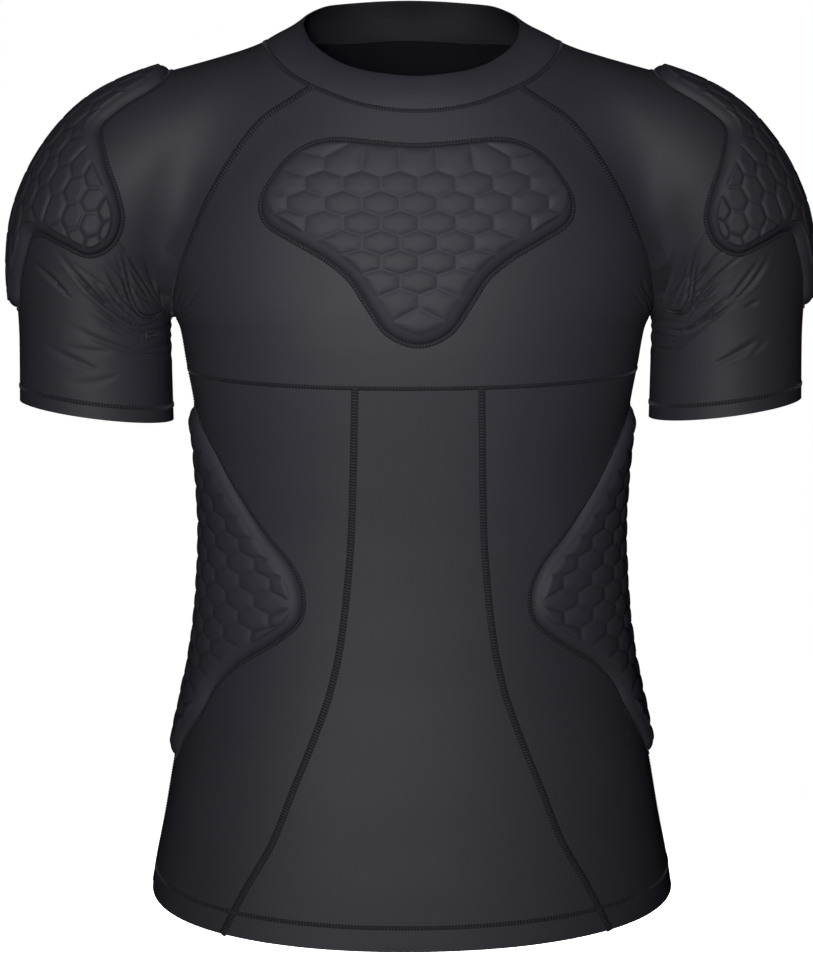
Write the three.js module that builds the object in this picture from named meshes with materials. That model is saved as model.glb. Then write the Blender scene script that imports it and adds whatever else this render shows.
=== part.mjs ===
// Padded compression shirt, worn shape, short raglan sleeves.
// Millimetres, +Z up, front faces -Y, origin at the middle of the neck where the shoulders carry it.
// Every cloth panel is a thin wall laid on one smooth figure, and every pad is a quilted foam
// piece laid over the cloth and stitched down round its edge.
import * as THREE from 'three';

// Cloth and seams
const WALL = 1.5;                 // cloth with its seam allowance
const SEAM_GAP = 0.3;             // free width between two sewn edges
const COLLAR_BOW = 2.2;           // how far the collar band bulges between its edges

// Neck and raglan seams
const FRONT_TURN = 50;            // degrees round the neck, front raglan seam
const BACK_TURN = 138;            // degrees round the neck, back raglan seam

// Arm path in the plane of the shoulders: a sloping line, a bend, a line straight down
const SHOULDER_X = 60;
const SHOULDER_Z = -41.5;
const SHOULDER_SLOPE = 20;        // degrees below level
const SHOULDER_RUN = 106.6;
const BEND_RADIUS = 100;
const UPPER_ARM_RUN = 170;
const NECK_ARC_LENGTH = 27;       // along the arm path, where the sleeve's arc meets the neck seam
const ARM_SET_BACK = 3;           // the arm's axis lies this far behind the neck's

// Lower edges
const CUFF_INNER_Z = -272;         // cuff at its lowest, on the inside of the arm
const CUFF_RISE = 15;             // the outside of the cuff is this much higher
const CHEST_SEAM_FRONT_Z = -237;
const CHEST_SEAM_SIDE_Z = -234;
const HEM_SIDE_Z = -613;
const HEM_FRONT_DROP = 19.5;
const HEM_BACK_DROP = 12;
const HEM_CURVE = 1.2;            // how the hem falls away from the side seams

// Steps along and across the panels; two panels that share a seam share its steps
const SIDE_COLUMNS = 8;
const CENTRE_COLUMNS = 4;
const BACK_COLUMNS = 20;
const SLEEVE_COLUMNS = 24;
const RAGLAN_ROWS = 10;
const UNDERARM_ROWS = 2;
const LOWER_ROWS = 14;
const CUFF_ROWS = 4;
const COLLAR_ROWS = 2;

// Pads
const PAD_LIFT = 0.95;            // underside of a pad above the cloth

const COLORS = { cloth: 0x1d1d20, collar: 0x1f1f22, pad: 0x252528 };

// Level sections of the trunk: half width, depth to the front and to the back, roundness
const TRUNK = [
  { z: -660, half: 196, front: 116, back: 116, power: 2.3 },
  { z: -600, half: 188, front: 112, back: 113, power: 2.3 },
  { z: -560, half: 180, front: 108, back: 109, power: 2.3 },
  { z: -520, half: 173, front: 105, back: 104, power: 2.3 },
  { z: -480, half: 164.5, front: 102, back: 99, power: 2.25 },
  { z: -440, half: 156, front: 100, back: 95, power: 2.25 },
  { z: -400, half: 151, front: 100, back: 93, power: 2.25 },
  { z: -350, half: 148.5, front: 102, back: 94, power: 2.25 },
  { z: -300, half: 151, front: 107, back: 98, power: 2.3 },
  { z: -258, half: 156, front: 112, back: 103, power: 2.35 },
  { z: -230, half: 161, front: 115, back: 106, power: 2.35 },
  { z: -206, half: 165, front: 116, back: 108, power: 2.4 },
  { z: -190, half: 171, front: 116, back: 109, power: 2.4 },
  { z: -150, half: 175, front: 113, back: 108, power: 2.35 },
  { z: -110, half: 166, front: 106, back: 104, power: 2.3 },
  { z: -80, half: 152, front: 96, back: 98, power: 2.25 },
  { z: -50, half: 130, front: 83, back: 88, power: 2.2 },
  { z: -25, half: 106, front: 71, back: 77, power: 2.15 },
  { z: 0, half: 82, front: 60, back: 65, power: 2.1 },
  { z: 30, half: 60, front: 46, back: 52, power: 2 },
];

// Radius of the sleeve along the arm path
const ARM = [
  { along: 0, radius: 48 },
  { along: 50, radius: 50 },
  { along: 107, radius: 54.5 },
  { along: 150, radius: 59.5 },
  { along: 190, radius: 59 },
  { along: 229, radius: 56 },
  { along: 270, radius: 54 },
  { along: 340, radius: 55 },
  { along: 400, radius: 55.5 },
];

// How widely trunk and arm melt into each other at each height
const BLEND = [
  { z: -260, width: 4 },
  { z: -200, width: 6 },
  { z: -185, width: 12 },
  { z: -150, width: 22 },
  { z: -100, width: 30 },
  { z: 20, width: 30 },
];

// Neck seam and the collar's upper edge, from the front middle to the back middle
const NECK_SEAM = [
  { turn: 0, radius: 84, z: -51 },
  { turn: 25, radius: 84, z: -49 },
  { turn: 43, radius: 87, z: -42.5 },
  { turn: 60, radius: 93, z: -33 },
  { turn: 74, radius: 99, z: -20 },
  { turn: 88, radius: 103, z: -7 },
  { turn: 101, radius: 103, z: -2 },
  { turn: 116, radius: 97, z: -1 },
  { turn: 134, radius: 84, z: -2 },
  { turn: 180, radius: 66, z: -3 },
];
const COLLAR_EDGE = [
  { turn: 0, radius: 66, z: -28 },
  { turn: 25, radius: 67, z: -25.5 },
  { turn: 43, radius: 70, z: -20.5 },
  { turn: 60, radius: 73, z: -12 },
  { turn: 74, radius: 75, z: -4 },
  { turn: 88, radius: 76, z: 3.5 },
  { turn: 101, radius: 79, z: 9 },
  { turn: 116, radius: 82, z: 15 },
  { turn: 134, radius: 79, z: 21 },
  { turn: 180, radius: 64, z: 24.5 },
];

// Raglan seams between the neck and the underarm
const RAGLAN_FRONT = [
  { z: -196, x: 171 },
  { z: -184, x: 170 },
  { z: -160, x: 163.5 },
  { z: -138, x: 154 },
  { z: -112, x: 141 },
  { z: -84, x: 122 },
  { z: -58, x: 98 },
  { z: -40, x: 68 },
  { z: -26, x: 46 },
];
const RAGLAN_BACK = [
  { z: -196, x: 171 },
  { z: -184, x: 170 },
  { z: -160, x: 164 },
  { z: -125, x: 150 },
  { z: -85, x: 127 },
  { z: -45, x: 96 },
  { z: -20, x: 73 },
  { z: -2, x: 56 },
  { z: 14, x: 40 },
];

// Princess seams down the front
const PRINCESS = [
  { z: -640, x: 143 },
  { z: -624, x: 136 },
  { z: -592, x: 120 },
  { z: -558, x: 101 },
  { z: -522, x: 87 },
  { z: -487, x: 73 },
  { z: -451, x: 60.5 },
  { z: -419, x: 53.5 },
  { z: -378, x: 48.5 },
  { z: -338, x: 45.5 },
  { z: -284, x: 44 },
  { z: -230, x: 43 },
];

// Pad outlines as the front view shows them, and their build
const CHEST_PAD = {
  height: 6, groove: 4.4, bevel: 4.5, cell: [25, 12.8],
  outline: [
    { x: 0, z: -75.5 }, { x: 30, z: -73.5 }, { x: 55, z: -71.5 }, { x: 68, z: -73.5 },
    { x: 84, z: -82 }, { x: 97, z: -97 }, { x: 105, z: -113 }, { x: 102, z: -125 },
    { x: 85, z: -136 }, { x: 62, z: -149 }, { x: 46, z: -162 }, { x: 34, z: -180 },
    { x: 20, z: -199 }, { x: 0, z: -206.5 },
  ],
};
const SHOULDER_PAD = {
  height: 7, groove: 5.2, bevel: 5, cell: [13.5, 17], stretch: 1.25,
  outline: [
    { x: 172, z: -27 }, { x: 180, z: -36 }, { x: 204, z: -51 }, { x: 217, z: -63 },
    { x: 215, z: -82 }, { x: 206, z: -108 }, { x: 203, z: -126 }, { x: 210, z: -143 },
    { x: 224, z: -150 }, { x: 242, z: -143 }, { x: 257, z: -136 }, { x: 265, z: -137 },
    { x: 271, z: -152 }, { x: 276, z: -172 }, { x: 278, z: -188 },
  ],
};
const RIB_PAD = {
  height: 6.5, groove: 4.9, bevel: 5, cell: [25, 12.8],
  edge: [
    { z: -262, x: 156 }, { z: -268, x: 152 }, { z: -285, x: 142 }, { z: -314, x: 125 },
    { z: -343, x: 105 }, { z: -365, x: 87 }, { z: -384, x: 80 }, { z: -401, x: 82 },
    { z: -416, x: 97 }, { z: -437, x: 126 }, { z: -455, x: 141 }, { z: -475, x: 151 },
    { z: -496, x: 163 }, { z: -514, x: 171 },
  ],
};

const radians = THREE.MathUtils.degToRad;
const mix = THREE.MathUtils.lerp;
const clamp = THREE.MathUtils.clamp;
const vector = (x, y, z) => new THREE.Vector3(x, y, z);

// Smooth curve through one column of a table, without overshoot between its rows
function along(rows, key, column, at) {
  const table = rows[0][key] < rows[rows.length - 1][key] ? rows : [...rows].reverse();
  const last = table.length - 1;
  if (at <= table[0][key]) return table[0][column];
  if (at >= table[last][key]) return table[last][column];
  const rise = (i) => (table[i + 1][column] - table[i][column]) / (table[i + 1][key] - table[i][key]);
  const slope = (i) => {
    if (i === 0 || i === last) return 0;
    const before = rise(i - 1);
    const after = rise(i);
    return before * after <= 0 ? 0 : 2 * before * after / (before + after);
  };
  let i = 0;
  while (table[i + 1][key] < at) i += 1;
  const step = table[i + 1][key] - table[i][key];
  const t = (at - table[i][key]) / step;
  const a = table[i][column];
  const b = table[i + 1][column];
  return a * (1 + 2 * t) * (1 - t) ** 2 + b * t * t * (3 - 2 * t)
    + step * (slope(i) * t * (1 - t) ** 2 - slope(i + 1) * t * t * (1 - t));
}

// The arm path: place, direction of travel and outward normal at a length along it
const slopeAngle = radians(SHOULDER_SLOPE);
const bendStart = {
  x: SHOULDER_X + SHOULDER_RUN * Math.cos(slopeAngle),
  z: SHOULDER_Z - SHOULDER_RUN * Math.sin(slopeAngle),
};
const bendCentre = {
  x: bendStart.x - BEND_RADIUS * Math.sin(slopeAngle),
  z: bendStart.z - BEND_RADIUS * Math.cos(slopeAngle),
};
const bendLength = BEND_RADIUS * (Math.PI / 2 - slopeAngle);
const armLength = SHOULDER_RUN + bendLength + UPPER_ARM_RUN;

function armAt(length) {
  const onBend = length - SHOULDER_RUN;
  const angle = clamp(slopeAngle + onBend / BEND_RADIUS, slopeAngle, Math.PI / 2);
  const outward = vector(Math.sin(angle), 0, Math.cos(angle));
  const onward = vector(Math.cos(angle), 0, -Math.sin(angle));
  const straight = onBend < 0 ? onBend : Math.max(0, onBend - bendLength);
  const place = vector(bendCentre.x, ARM_SET_BACK, bendCentre.z)
    .addScaledVector(outward, BEND_RADIUS).addScaledVector(onward, straight);
  return { place, outward, onward };
}

// Length along the arm path of its point nearest to (x, z)
function armNearest(x, z) {
  const fromBend = Math.atan2(x - bendCentre.x, z - bendCentre.z);
  const lengths = [
    clamp((x - SHOULDER_X) * Math.cos(slopeAngle) - (z - SHOULDER_Z) * Math.sin(slopeAngle), 0, SHOULDER_RUN),
    SHOULDER_RUN + BEND_RADIUS * (clamp(fromBend, slopeAngle, Math.PI / 2) - slopeAngle),
    SHOULDER_RUN + bendLength + clamp(bendCentre.z - z, 0, UPPER_ARM_RUN),
  ];
  const far = lengths.map((length) => {
    const { place } = armAt(length);
    return Math.hypot(place.x - x, place.z - z);
  });
  const nearest = far.indexOf(Math.min(...far));
  return { length: lengths[nearest], far: far[nearest] };
}

function trunkAt(z) {
  const column = (name) => along(TRUNK, 'z', name, z);
  return { half: column('half'), front: column('front'), back: column('back'), power: column('power') };
}

// Distance outside the trunk, outside the arm, and outside both melted together
function outsideTrunk(x, y, z) {
  const { half, front, back, power } = trunkAt(z);
  const depth = y < 0 ? front : back;
  const size = (Math.abs(x / half) ** power + Math.abs(y / depth) ** power) ** (1 / power);
  return size < 1e-6 ? -Math.min(half, depth) : Math.hypot(x, y) * (1 - 1 / size);
}

function outsideArm(x, y, z) {
  const { length, far } = armNearest(x, z);
  return Math.hypot(far, y - ARM_SET_BACK) - along(ARM, 'along', 'radius', length);
}

function outside(p) {
  const x = Math.abs(p.x);
  const trunk = outsideTrunk(x, p.y, p.z);
  const arm = outsideArm(x, p.y, p.z);
  const width = along(BLEND, 'z', 'width', p.z);
  const overlap = Math.max(width - Math.abs(trunk - arm), 0) / width;
  return Math.min(trunk, arm) - overlap * overlap * width / 4;
}

function outwardAt(p) {
  const step = 0.2;
  const slope = ['x', 'y', 'z'].map((axis) => {
    const ahead = p.clone();
    const behind = p.clone();
    ahead[axis] += step;
    behind[axis] -= step;
    return outside(ahead) - outside(behind);
  });
  return vector(...slope).normalize();
}

// First place where a line from inside the figure leaves it
function leave(from, direction) {
  const step = 3;
  let inner = 0;
  while (inner < 400 && outside(from.clone().addScaledVector(direction, inner + step)) < 0) inner += step;
  let outer = inner + step;
  for (let i = 0; i < 30; i += 1) {
    const middle = (inner + outer) / 2;
    if (outside(from.clone().addScaledVector(direction, middle)) < 0) inner = middle;
    else outer = middle;
  }
  return from.clone().addScaledVector(direction, outer);
}

// A point near the figure slides along the figure's normal until it lies on it
function settle(start) {
  const p = start.clone();
  for (let i = 0; i < 12; i += 1) p.addScaledVector(outwardAt(p), -outside(p));
  return p;
}

// Point of the trunk's surface: t runs from -90 (right hand side seam) over 0 (front) to 90 degrees
function trunkPoint(t, z) {
  const { half, front, back } = trunkAt(z);
  const depth = Math.abs(t) > Math.PI / 2 ? back : front;
  return leave(vector(0, 0, z), vector(half * Math.sin(t), -depth * Math.cos(t), 0).normalize());
}

function trunkTurn(p) {
  const { half, front, back } = trunkAt(p.z);
  return Math.atan2(p.x / half, -p.y / (p.y > 0 ? back : front));
}

// Turn at which the front of the trunk reaches a given width at a height
function turnAtWidth(x, z) {
  let low = 0;
  let high = Math.PI / 2;
  for (let i = 0; i < 24; i += 1) {
    const middle = (low + high) / 2;
    if (trunkPoint(middle, z).x < x) low = middle;
    else high = middle;
  }
  return (low + high) / 2;
}

// Even steps of length along a curve given by a function of 0 to 1
function evenly(curve, steps) {
  const samples = Array.from({ length: 161 }, (_, i) => curve(i / 160));
  const lengths = [0];
  for (let i = 1; i < samples.length; i += 1) {
    lengths.push(lengths[i - 1] + samples[i].distanceTo(samples[i - 1]));
  }
  const total = lengths[lengths.length - 1];
  return Array.from({ length: steps + 1 }, (_, k) => {
    const wanted = total * k / steps;
    let i = 0;
    while (i < samples.length - 2 && lengths[i + 1] < wanted) i += 1;
    const share = clamp((wanted - lengths[i]) / (lengths[i + 1] - lengths[i]), 0, 1);
    return samples[i].clone().lerp(samples[i + 1], share);
  });
}

// The underarm: the lowest point where trunk and sleeve still touch, in the middle of the cleft
function findUnderarm() {
  const cleft = (z) => {
    let widest = { x: 0, gap: -Infinity };
    for (let x = RAGLAN_FRONT[0].x - 15; x < RAGLAN_FRONT[0].x + 15; x += 0.1) {
      const gap = outside(vector(x, ARM_SET_BACK / 2, z));
      if (gap > widest.gap) widest = { x, gap };
    }
    return widest;
  };
  let low = RAGLAN_FRONT[0].z - 30;
  let high = RAGLAN_FRONT[0].z + 30;
  for (let i = 0; i < 30; i += 1) {
    const middle = (low + high) / 2;
    if (cleft(middle).gap < 0) high = middle;
    else low = middle;
  }
  return vector(cleft(high).x, ARM_SET_BACK / 2, high);
}
const underarm = findUnderarm();

function neckPoint(turn) {
  const angle = radians(Math.abs(turn));
  const radius = along(NECK_SEAM, 'turn', 'radius', Math.abs(turn));
  const z = along(NECK_SEAM, 'turn', 'z', Math.abs(turn));
  const p = settle(vector(radius * Math.sin(angle), -radius * Math.cos(angle), z));
  return turn < 0 ? vector(-p.x, p.y, p.z) : p;
}

// Raglan seam, from the neck to the underarm, on the front (-1) or the back (1)
function raglan(table, turn, face) {
  const top = neckPoint(turn);
  const curve = (t) => {
    if (t === 0) return top;
    if (t === 1) return underarm;
    const z = mix(top.z, underarm.z, t);
    const shift = (top.x - along(table, 'z', 'x', top.z)) * (1 - t) ** 3;
    const from = vector(along(table, 'z', 'x', z) + shift, ARM_SET_BACK, z);
    return leave(from, vector(0, face, 0));
  };
  return evenly(curve, RAGLAN_ROWS);
}
const raglanFront = raglan(RAGLAN_FRONT, FRONT_TURN, -1);
const raglanBack = raglan(RAGLAN_BACK, BACK_TURN, 1);

// Columns of the front: the same shares on the chest seam as in the panels under it
const princessTop = turnAtWidth(along(PRINCESS, 'z', 'x', CHEST_SEAM_FRONT_Z), CHEST_SEAM_FRONT_Z);
const frontShares = [
  ...Array.from({ length: SIDE_COLUMNS }, (_, i) => -mix(1, princessTop / (Math.PI / 2), i / SIDE_COLUMNS)),
  ...Array.from({ length: CENTRE_COLUMNS }, (_, i) => mix(-1, 1, i / CENTRE_COLUMNS) * princessTop / (Math.PI / 2)),
  ...Array.from({ length: SIDE_COLUMNS + 1 }, (_, i) => mix(princessTop / (Math.PI / 2), 1, i / SIDE_COLUMNS)),
];
const backShares = Array.from({ length: BACK_COLUMNS + 1 }, (_, i) => 1 - 2 * i / BACK_COLUMNS);

const mirrored = (p) => vector(-p.x, p.y, p.z);
const chestSeamZ = (t) => mix(CHEST_SEAM_SIDE_Z, CHEST_SEAM_FRONT_Z, Math.max(0, Math.cos(t)) ** 2);
const hemZ = (t) => HEM_SIDE_Z - (Math.abs(t) > Math.PI / 2 ? HEM_BACK_DROP : HEM_FRONT_DROP) * Math.abs(Math.cos(t)) ** HEM_CURVE;

// Side seam below the underarm, down to the chest seam's level
const sideSeam = Array.from({ length: UNDERARM_ROWS }, (_, k) => {
  const share = (k + 1) / UNDERARM_ROWS;
  return trunkPoint(Math.PI / 2, mix(underarm.z, CHEST_SEAM_SIDE_Z, share));
});

// Upper front or back: neck seam, raglan seams, side seams; face is -1 at the front, 1 at the back
function upperRows(shares, raglanSeam, neckTurn, face) {
  const edge = [...raglanSeam, ...sideSeam];
  const middleTop = neckPoint(face < 0 ? 0 : 180);
  const middleFoot = face < 0 ? CHEST_SEAM_FRONT_Z : CHEST_SEAM_SIDE_Z;
  return edge.map((end, j) => shares.map((share) => {
    if (j === 0) return neckPoint(face < 0 ? share * neckTurn : Math.sign(share || 1) * (180 - Math.abs(share) * (180 - neckTurn)));
    if (Math.abs(share) > 0.9999) return share > 0 ? end : mirrored(end);
    const middleZ = mix(middleTop.z, middleFoot, j / (edge.length - 1));
    const z = mix(middleZ, end.z, Math.sin(share * Math.PI / 2) ** 2);
    const endTurn = Math.abs(trunkTurn(end));
    const turn = face < 0 ? share * endTurn : Math.sign(share || 1) * (Math.PI - Math.abs(share) * (Math.PI - endTurn));
    return trunkPoint(turn, z);
  }));
}

function lowerRow(turns, j) {
  return turns.map((t) => trunkPoint(t, mix(chestSeamZ(t), hemZ(t), j / LOWER_ROWS)));
}

// Turn of the princess seam in a row of the lower front
function princessTurn(j) {
  let turn = princessTop;
  for (let i = 0; i < 4; i += 1) {
    const z = mix(chestSeamZ(turn), hemZ(turn), j / LOWER_ROWS);
    turn = turnAtWidth(along(PRINCESS, 'z', 'x', z), z);
  }
  return turn;
}
const lowerLines = Array.from({ length: LOWER_ROWS + 1 }, (_, j) => {
  const turn = j === 0 ? princessTop : princessTurn(j);
  return {
    side: Array.from({ length: SIDE_COLUMNS + 1 }, (_, i) => mix(turn, Math.PI / 2, i / SIDE_COLUMNS)),
    centre: Array.from({ length: CENTRE_COLUMNS + 1 }, (_, i) => mix(-turn, turn, i / CENTRE_COLUMNS)),
  };
});

const yokeGrid = upperRows(frontShares, raglanFront, FRONT_TURN, -1);
const centreGrid = lowerLines.map((line, j) => lowerRow(line.centre, j));
const sideGrid = lowerLines.map((line, j) => lowerRow(line.side, j));
const backGrid = [
  ...upperRows(backShares, raglanBack, BACK_TURN, 1),
  ...Array.from({ length: LOWER_ROWS }, (_, j) => lowerRow(
    backShares.map((share) => Math.sign(share || 1) * (Math.PI - Math.abs(share) * Math.PI / 2)), j + 1)),
];

// Sleeve rings: arcs from front to back raglan seam above the underarm, closed rings below it
function sleeveGrid() {
  const startLength = SHOULDER_RUN + bendLength + (bendCentre.z - underarm.z);
  const ringShare = Array.from({ length: SLEEVE_COLUMNS + 1 }, (_, i) => i / SLEEVE_COLUMNS);
  const arcAt = (row) => {
    const share = row / RAGLAN_ROWS;
    const { place, outward, onward } = armAt(mix(NECK_ARC_LENGTH, startLength, share));
    const ends = [raglanFront[row], raglanBack[row]].map((p, side) => {
      const from = p.clone().sub(place);
      const sideways = side === 0 ? -from.y : from.y;
      return { turn: Math.atan2(sideways, from.dot(outward)), shift: from.dot(onward) };
    });
    return ringShare.map((w, i) => {
      if (i === 0) return raglanFront[row];
      if (i === SLEEVE_COLUMNS) return raglanBack[row];
      const turn = mix(ends[0].turn, -ends[1].turn, w);
      const end = turn > 0 ? ends[0] : ends[1];
      const shift = end.shift * (turn / end.turn) ** 2;
      const direction = outward.clone().multiplyScalar(Math.cos(turn)).add(vector(0, -Math.sin(turn), 0));
      return leave(place.clone().addScaledVector(onward, shift), direction);
    });
  };
  const neckArc = ringShare.map((w) => neckPoint(mix(FRONT_TURN, BACK_TURN, w)));
  const firstArc = arcAt(0);
  const rows = [];
  for (let row = 0; row < RAGLAN_ROWS; row += 1) {
    const pull = (1 - row / RAGLAN_ROWS) ** 3;
    rows.push(arcAt(row).map((p, i) => {
      if (row === 0) return neckArc[i];
      if (i === 0 || i === SLEEVE_COLUMNS) return p;
      return settle(p.clone().addScaledVector(neckArc[i].clone().sub(firstArc[i]), pull));
    }));
  }
  for (let row = 0; row <= CUFF_ROWS; row += 1) {
    rows.push(ringShare.map((w, i) => {
      const turn = Math.PI * (1 - 2 * w);
      if (row === 0 && (i === 0 || i === SLEEVE_COLUMNS)) return underarm;
      const cuffZ = CUFF_INNER_Z + CUFF_RISE * (1 + Math.cos(turn)) / 2;
      const { place } = armAt(startLength);
      const from = vector(place.x, place.y, mix(underarm.z, cuffZ, row / CUFF_ROWS));
      return leave(from, vector(Math.cos(turn), -Math.sin(turn), 0));
    }));
  }
  return rows;
}
const sleeveRows = sleeveGrid();

// Triangle soup that welds equal points and turns its faces outward
class Solid {
  constructor() {
    this.points = [];
    this.faces = [];
    this.found = new Map();
  }

  point(p) {
    const key = [p.x, p.y, p.z].map((value) => Math.round(value * 1e4)).join(' ');
    if (!this.found.has(key)) {
      this.found.set(key, this.points.length);
      this.points.push(p);
    }
    return this.found.get(key);
  }

  face(...corners) {
    const ids = corners.map((p) => this.point(p));
    for (let i = 1; i < ids.length - 1; i += 1) {
      const [a, b, c] = [ids[0], ids[i], ids[i + 1]];
      if (a !== b && b !== c && c !== a) this.faces.push(a, b, c);
    }
  }

  mesh(name, color, roughness) {
    const volume = (a, b, c) => this.points[a].dot(this.points[b].clone().cross(this.points[c]));
    let total = 0;
    for (let i = 0; i < this.faces.length; i += 3) total += volume(...this.faces.slice(i, i + 3));
    if (total < 0) this.faces.reverse();
    const geometry = new THREE.BufferGeometry();
    geometry.setAttribute('position', new THREE.Float32BufferAttribute(this.points.flatMap((p) => p.toArray()), 3));
    geometry.setIndex(this.faces);
    geometry.computeVertexNormals();
    const mesh = new THREE.Mesh(geometry, new THREE.MeshStandardMaterial({ color, roughness, metalness: 0 }));
    mesh.name = name;
    return mesh;
  }
}

// Sewn edges draw back by half a seam gap, square to the seam and along the cloth.
// Each point keeps the figure's normal at the seam itself, so that two sewn edges stay parallel.
function sewnPanel(grid, edges) {
  const lastRow = grid.length - 1;
  const lastColumn = grid[0].length - 1;
  const square = (p, before, after, inside, normal) => {
    const way = after.clone().sub(before).cross(normal).normalize();
    return way.multiplyScalar(Math.sign(way.dot(inside.clone().sub(p))) * SEAM_GAP / 2);
  };
  return grid.map((line, j) => line.map((p, i) => {
    const normal = outwardAt(p);
    const q = p.clone();
    const beside = [line[Math.max(i - 1, 0)], line[Math.min(i + 1, lastColumn)]];
    const above = [grid[Math.max(j - 1, 0)][i], grid[Math.min(j + 1, lastRow)][i]];
    if (edges.top && j === 0) q.add(square(p, ...beside, grid[1][i], normal));
    if (edges.foot && j === lastRow) q.add(square(p, ...beside, grid[lastRow - 1][i], normal));
    if (edges.sides(j) && i === 0) q.add(square(p, ...above, line[1], normal));
    if (edges.sides(j) && i === lastColumn) q.add(square(p, ...above, line[lastColumn - 1], normal));
    return { outer: q, inner: q.clone().addScaledVector(normal, -WALL) };
  }));
}

// A wall of cloth between two grids of points; closed(j) says that row strip j joins up into a tube
function wall(panel, closed = () => false) {
  const solid = new Solid();
  const grid = panel.map((line) => line.map(({ outer }) => outer));
  const under = panel.map((line) => line.map(({ inner }) => inner));
  const lastRow = grid.length - 1;
  const lastColumn = grid[0].length - 1;
  for (let j = 0; j < lastRow; j += 1) {
    for (let i = 0; i < lastColumn; i += 1) {
      const k = i + 1;
      const corners = [[j, i], [j, k], [j + 1, k], [j + 1, i]];
      if (2 * i >= lastColumn) corners.push(corners.shift());
      const [a, b, c, d] = corners.map(([row, column]) => grid[row][column]);
      const [e, f, g, h] = corners.map(([row, column]) => under[row][column]);
      solid.face(a, b, c);
      solid.face(a, c, d);
      solid.face(g, f, e);
      solid.face(h, g, e);
    }
    if (!closed(j)) {
      solid.face(under[j][0], grid[j][0], grid[j + 1][0], under[j + 1][0]);
      solid.face(under[j][lastColumn], under[j + 1][lastColumn], grid[j + 1][lastColumn], grid[j][lastColumn]);
    }
  }
  for (let i = 0; i < lastColumn; i += 1) {
    const k = i + 1;
    solid.face(under[0][i], under[0][k], grid[0][k], grid[0][i]);
    solid.face(grid[lastRow][i], grid[lastRow][k], under[lastRow][k], under[lastRow][i]);
  }
  return solid;
}

// Collar: a closed band from the neck seam to its free upper edge
function collarSolid() {
  const turns = [
    ...frontShares.map((share) => share * FRONT_TURN),
    ...Array.from({ length: SLEEVE_COLUMNS - 1 }, (_, i) => mix(FRONT_TURN, BACK_TURN, (i + 1) / SLEEVE_COLUMNS)),
    ...backShares.map((share) => (180 - Math.abs(share) * (180 - BACK_TURN)) * Math.sign(share || 1)),
    ...Array.from({ length: SLEEVE_COLUMNS - 1 }, (_, i) => -mix(BACK_TURN, FRONT_TURN, (i + 1) / SLEEVE_COLUMNS)),
  ];
  const edgePoint = (turn) => {
    const angle = radians(Math.abs(turn));
    const radius = along(COLLAR_EDGE, 'turn', 'radius', Math.abs(turn));
    return vector(Math.sign(turn || 1) * radius * Math.sin(angle), -radius * Math.cos(angle),
      along(COLLAR_EDGE, 'turn', 'z', Math.abs(turn)));
  };
  const grid = turns.map((turn) => {
    const seam = neckPoint(turn);
    const edge = edgePoint(turn);
    const rise = edge.clone().sub(seam).normalize();
    const flat = vector(seam.x, seam.y, 0).normalize();
    const bulge = flat.clone().addScaledVector(rise, -flat.dot(rise)).normalize();
    const line = Array.from({ length: COLLAR_ROWS + 1 }, (_, j) => {
      const t = j / COLLAR_ROWS;
      return seam.clone().lerp(edge, t).addScaledVector(bulge, COLLAR_BOW * 4 * t * (1 - t));
    });
    line[0].addScaledVector(line[1].clone().sub(line[0]).normalize(), SEAM_GAP / 2);
    return { line, bulge, normal: outwardAt(seam) };
  });
  const solid = new Solid();
  const under = grid.map(({ line, bulge, normal }) => line.map((p, j) => {
    const way = normal.clone().lerp(bulge, j / COLLAR_ROWS).normalize();
    return p.clone().addScaledVector(way, -WALL);
  }));
  grid.forEach(({ line }, i) => {
    const k = (i + 1) % grid.length;
    const next = grid[k].line;
    for (let j = 0; j < COLLAR_ROWS; j += 1) {
      solid.face(line[j], next[j], next[j + 1], line[j + 1]);
      solid.face(under[k][j], under[i][j], under[i][j + 1], under[k][j + 1]);
    }
    solid.face(next[0], line[0], under[i][0], under[k][0]);
    solid.face(line[COLLAR_ROWS], next[COLLAR_ROWS], under[k][COLLAR_ROWS], under[i][COLLAR_ROWS]);
  });
  return solid;
}

// Outlines of the pads in flat pad coordinates (u across, v up)
function smoothOutline(corners) {
  const curve = new THREE.CatmullRomCurve3(corners.map(([u, v]) => vector(u, v, 0)), true, 'centripetal');
  return curve.getSpacedPoints(240).slice(0, -1);
}

function insideOutline(outline, u, v) {
  let inside = false;
  outline.forEach((a, i) => {
    const b = outline[(i + 1) % outline.length];
    if ((a.y > v) !== (b.y > v) && u < a.x + (v - a.y) * (b.x - a.x) / (b.y - a.y)) inside = !inside;
  });
  return inside;
}

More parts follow.
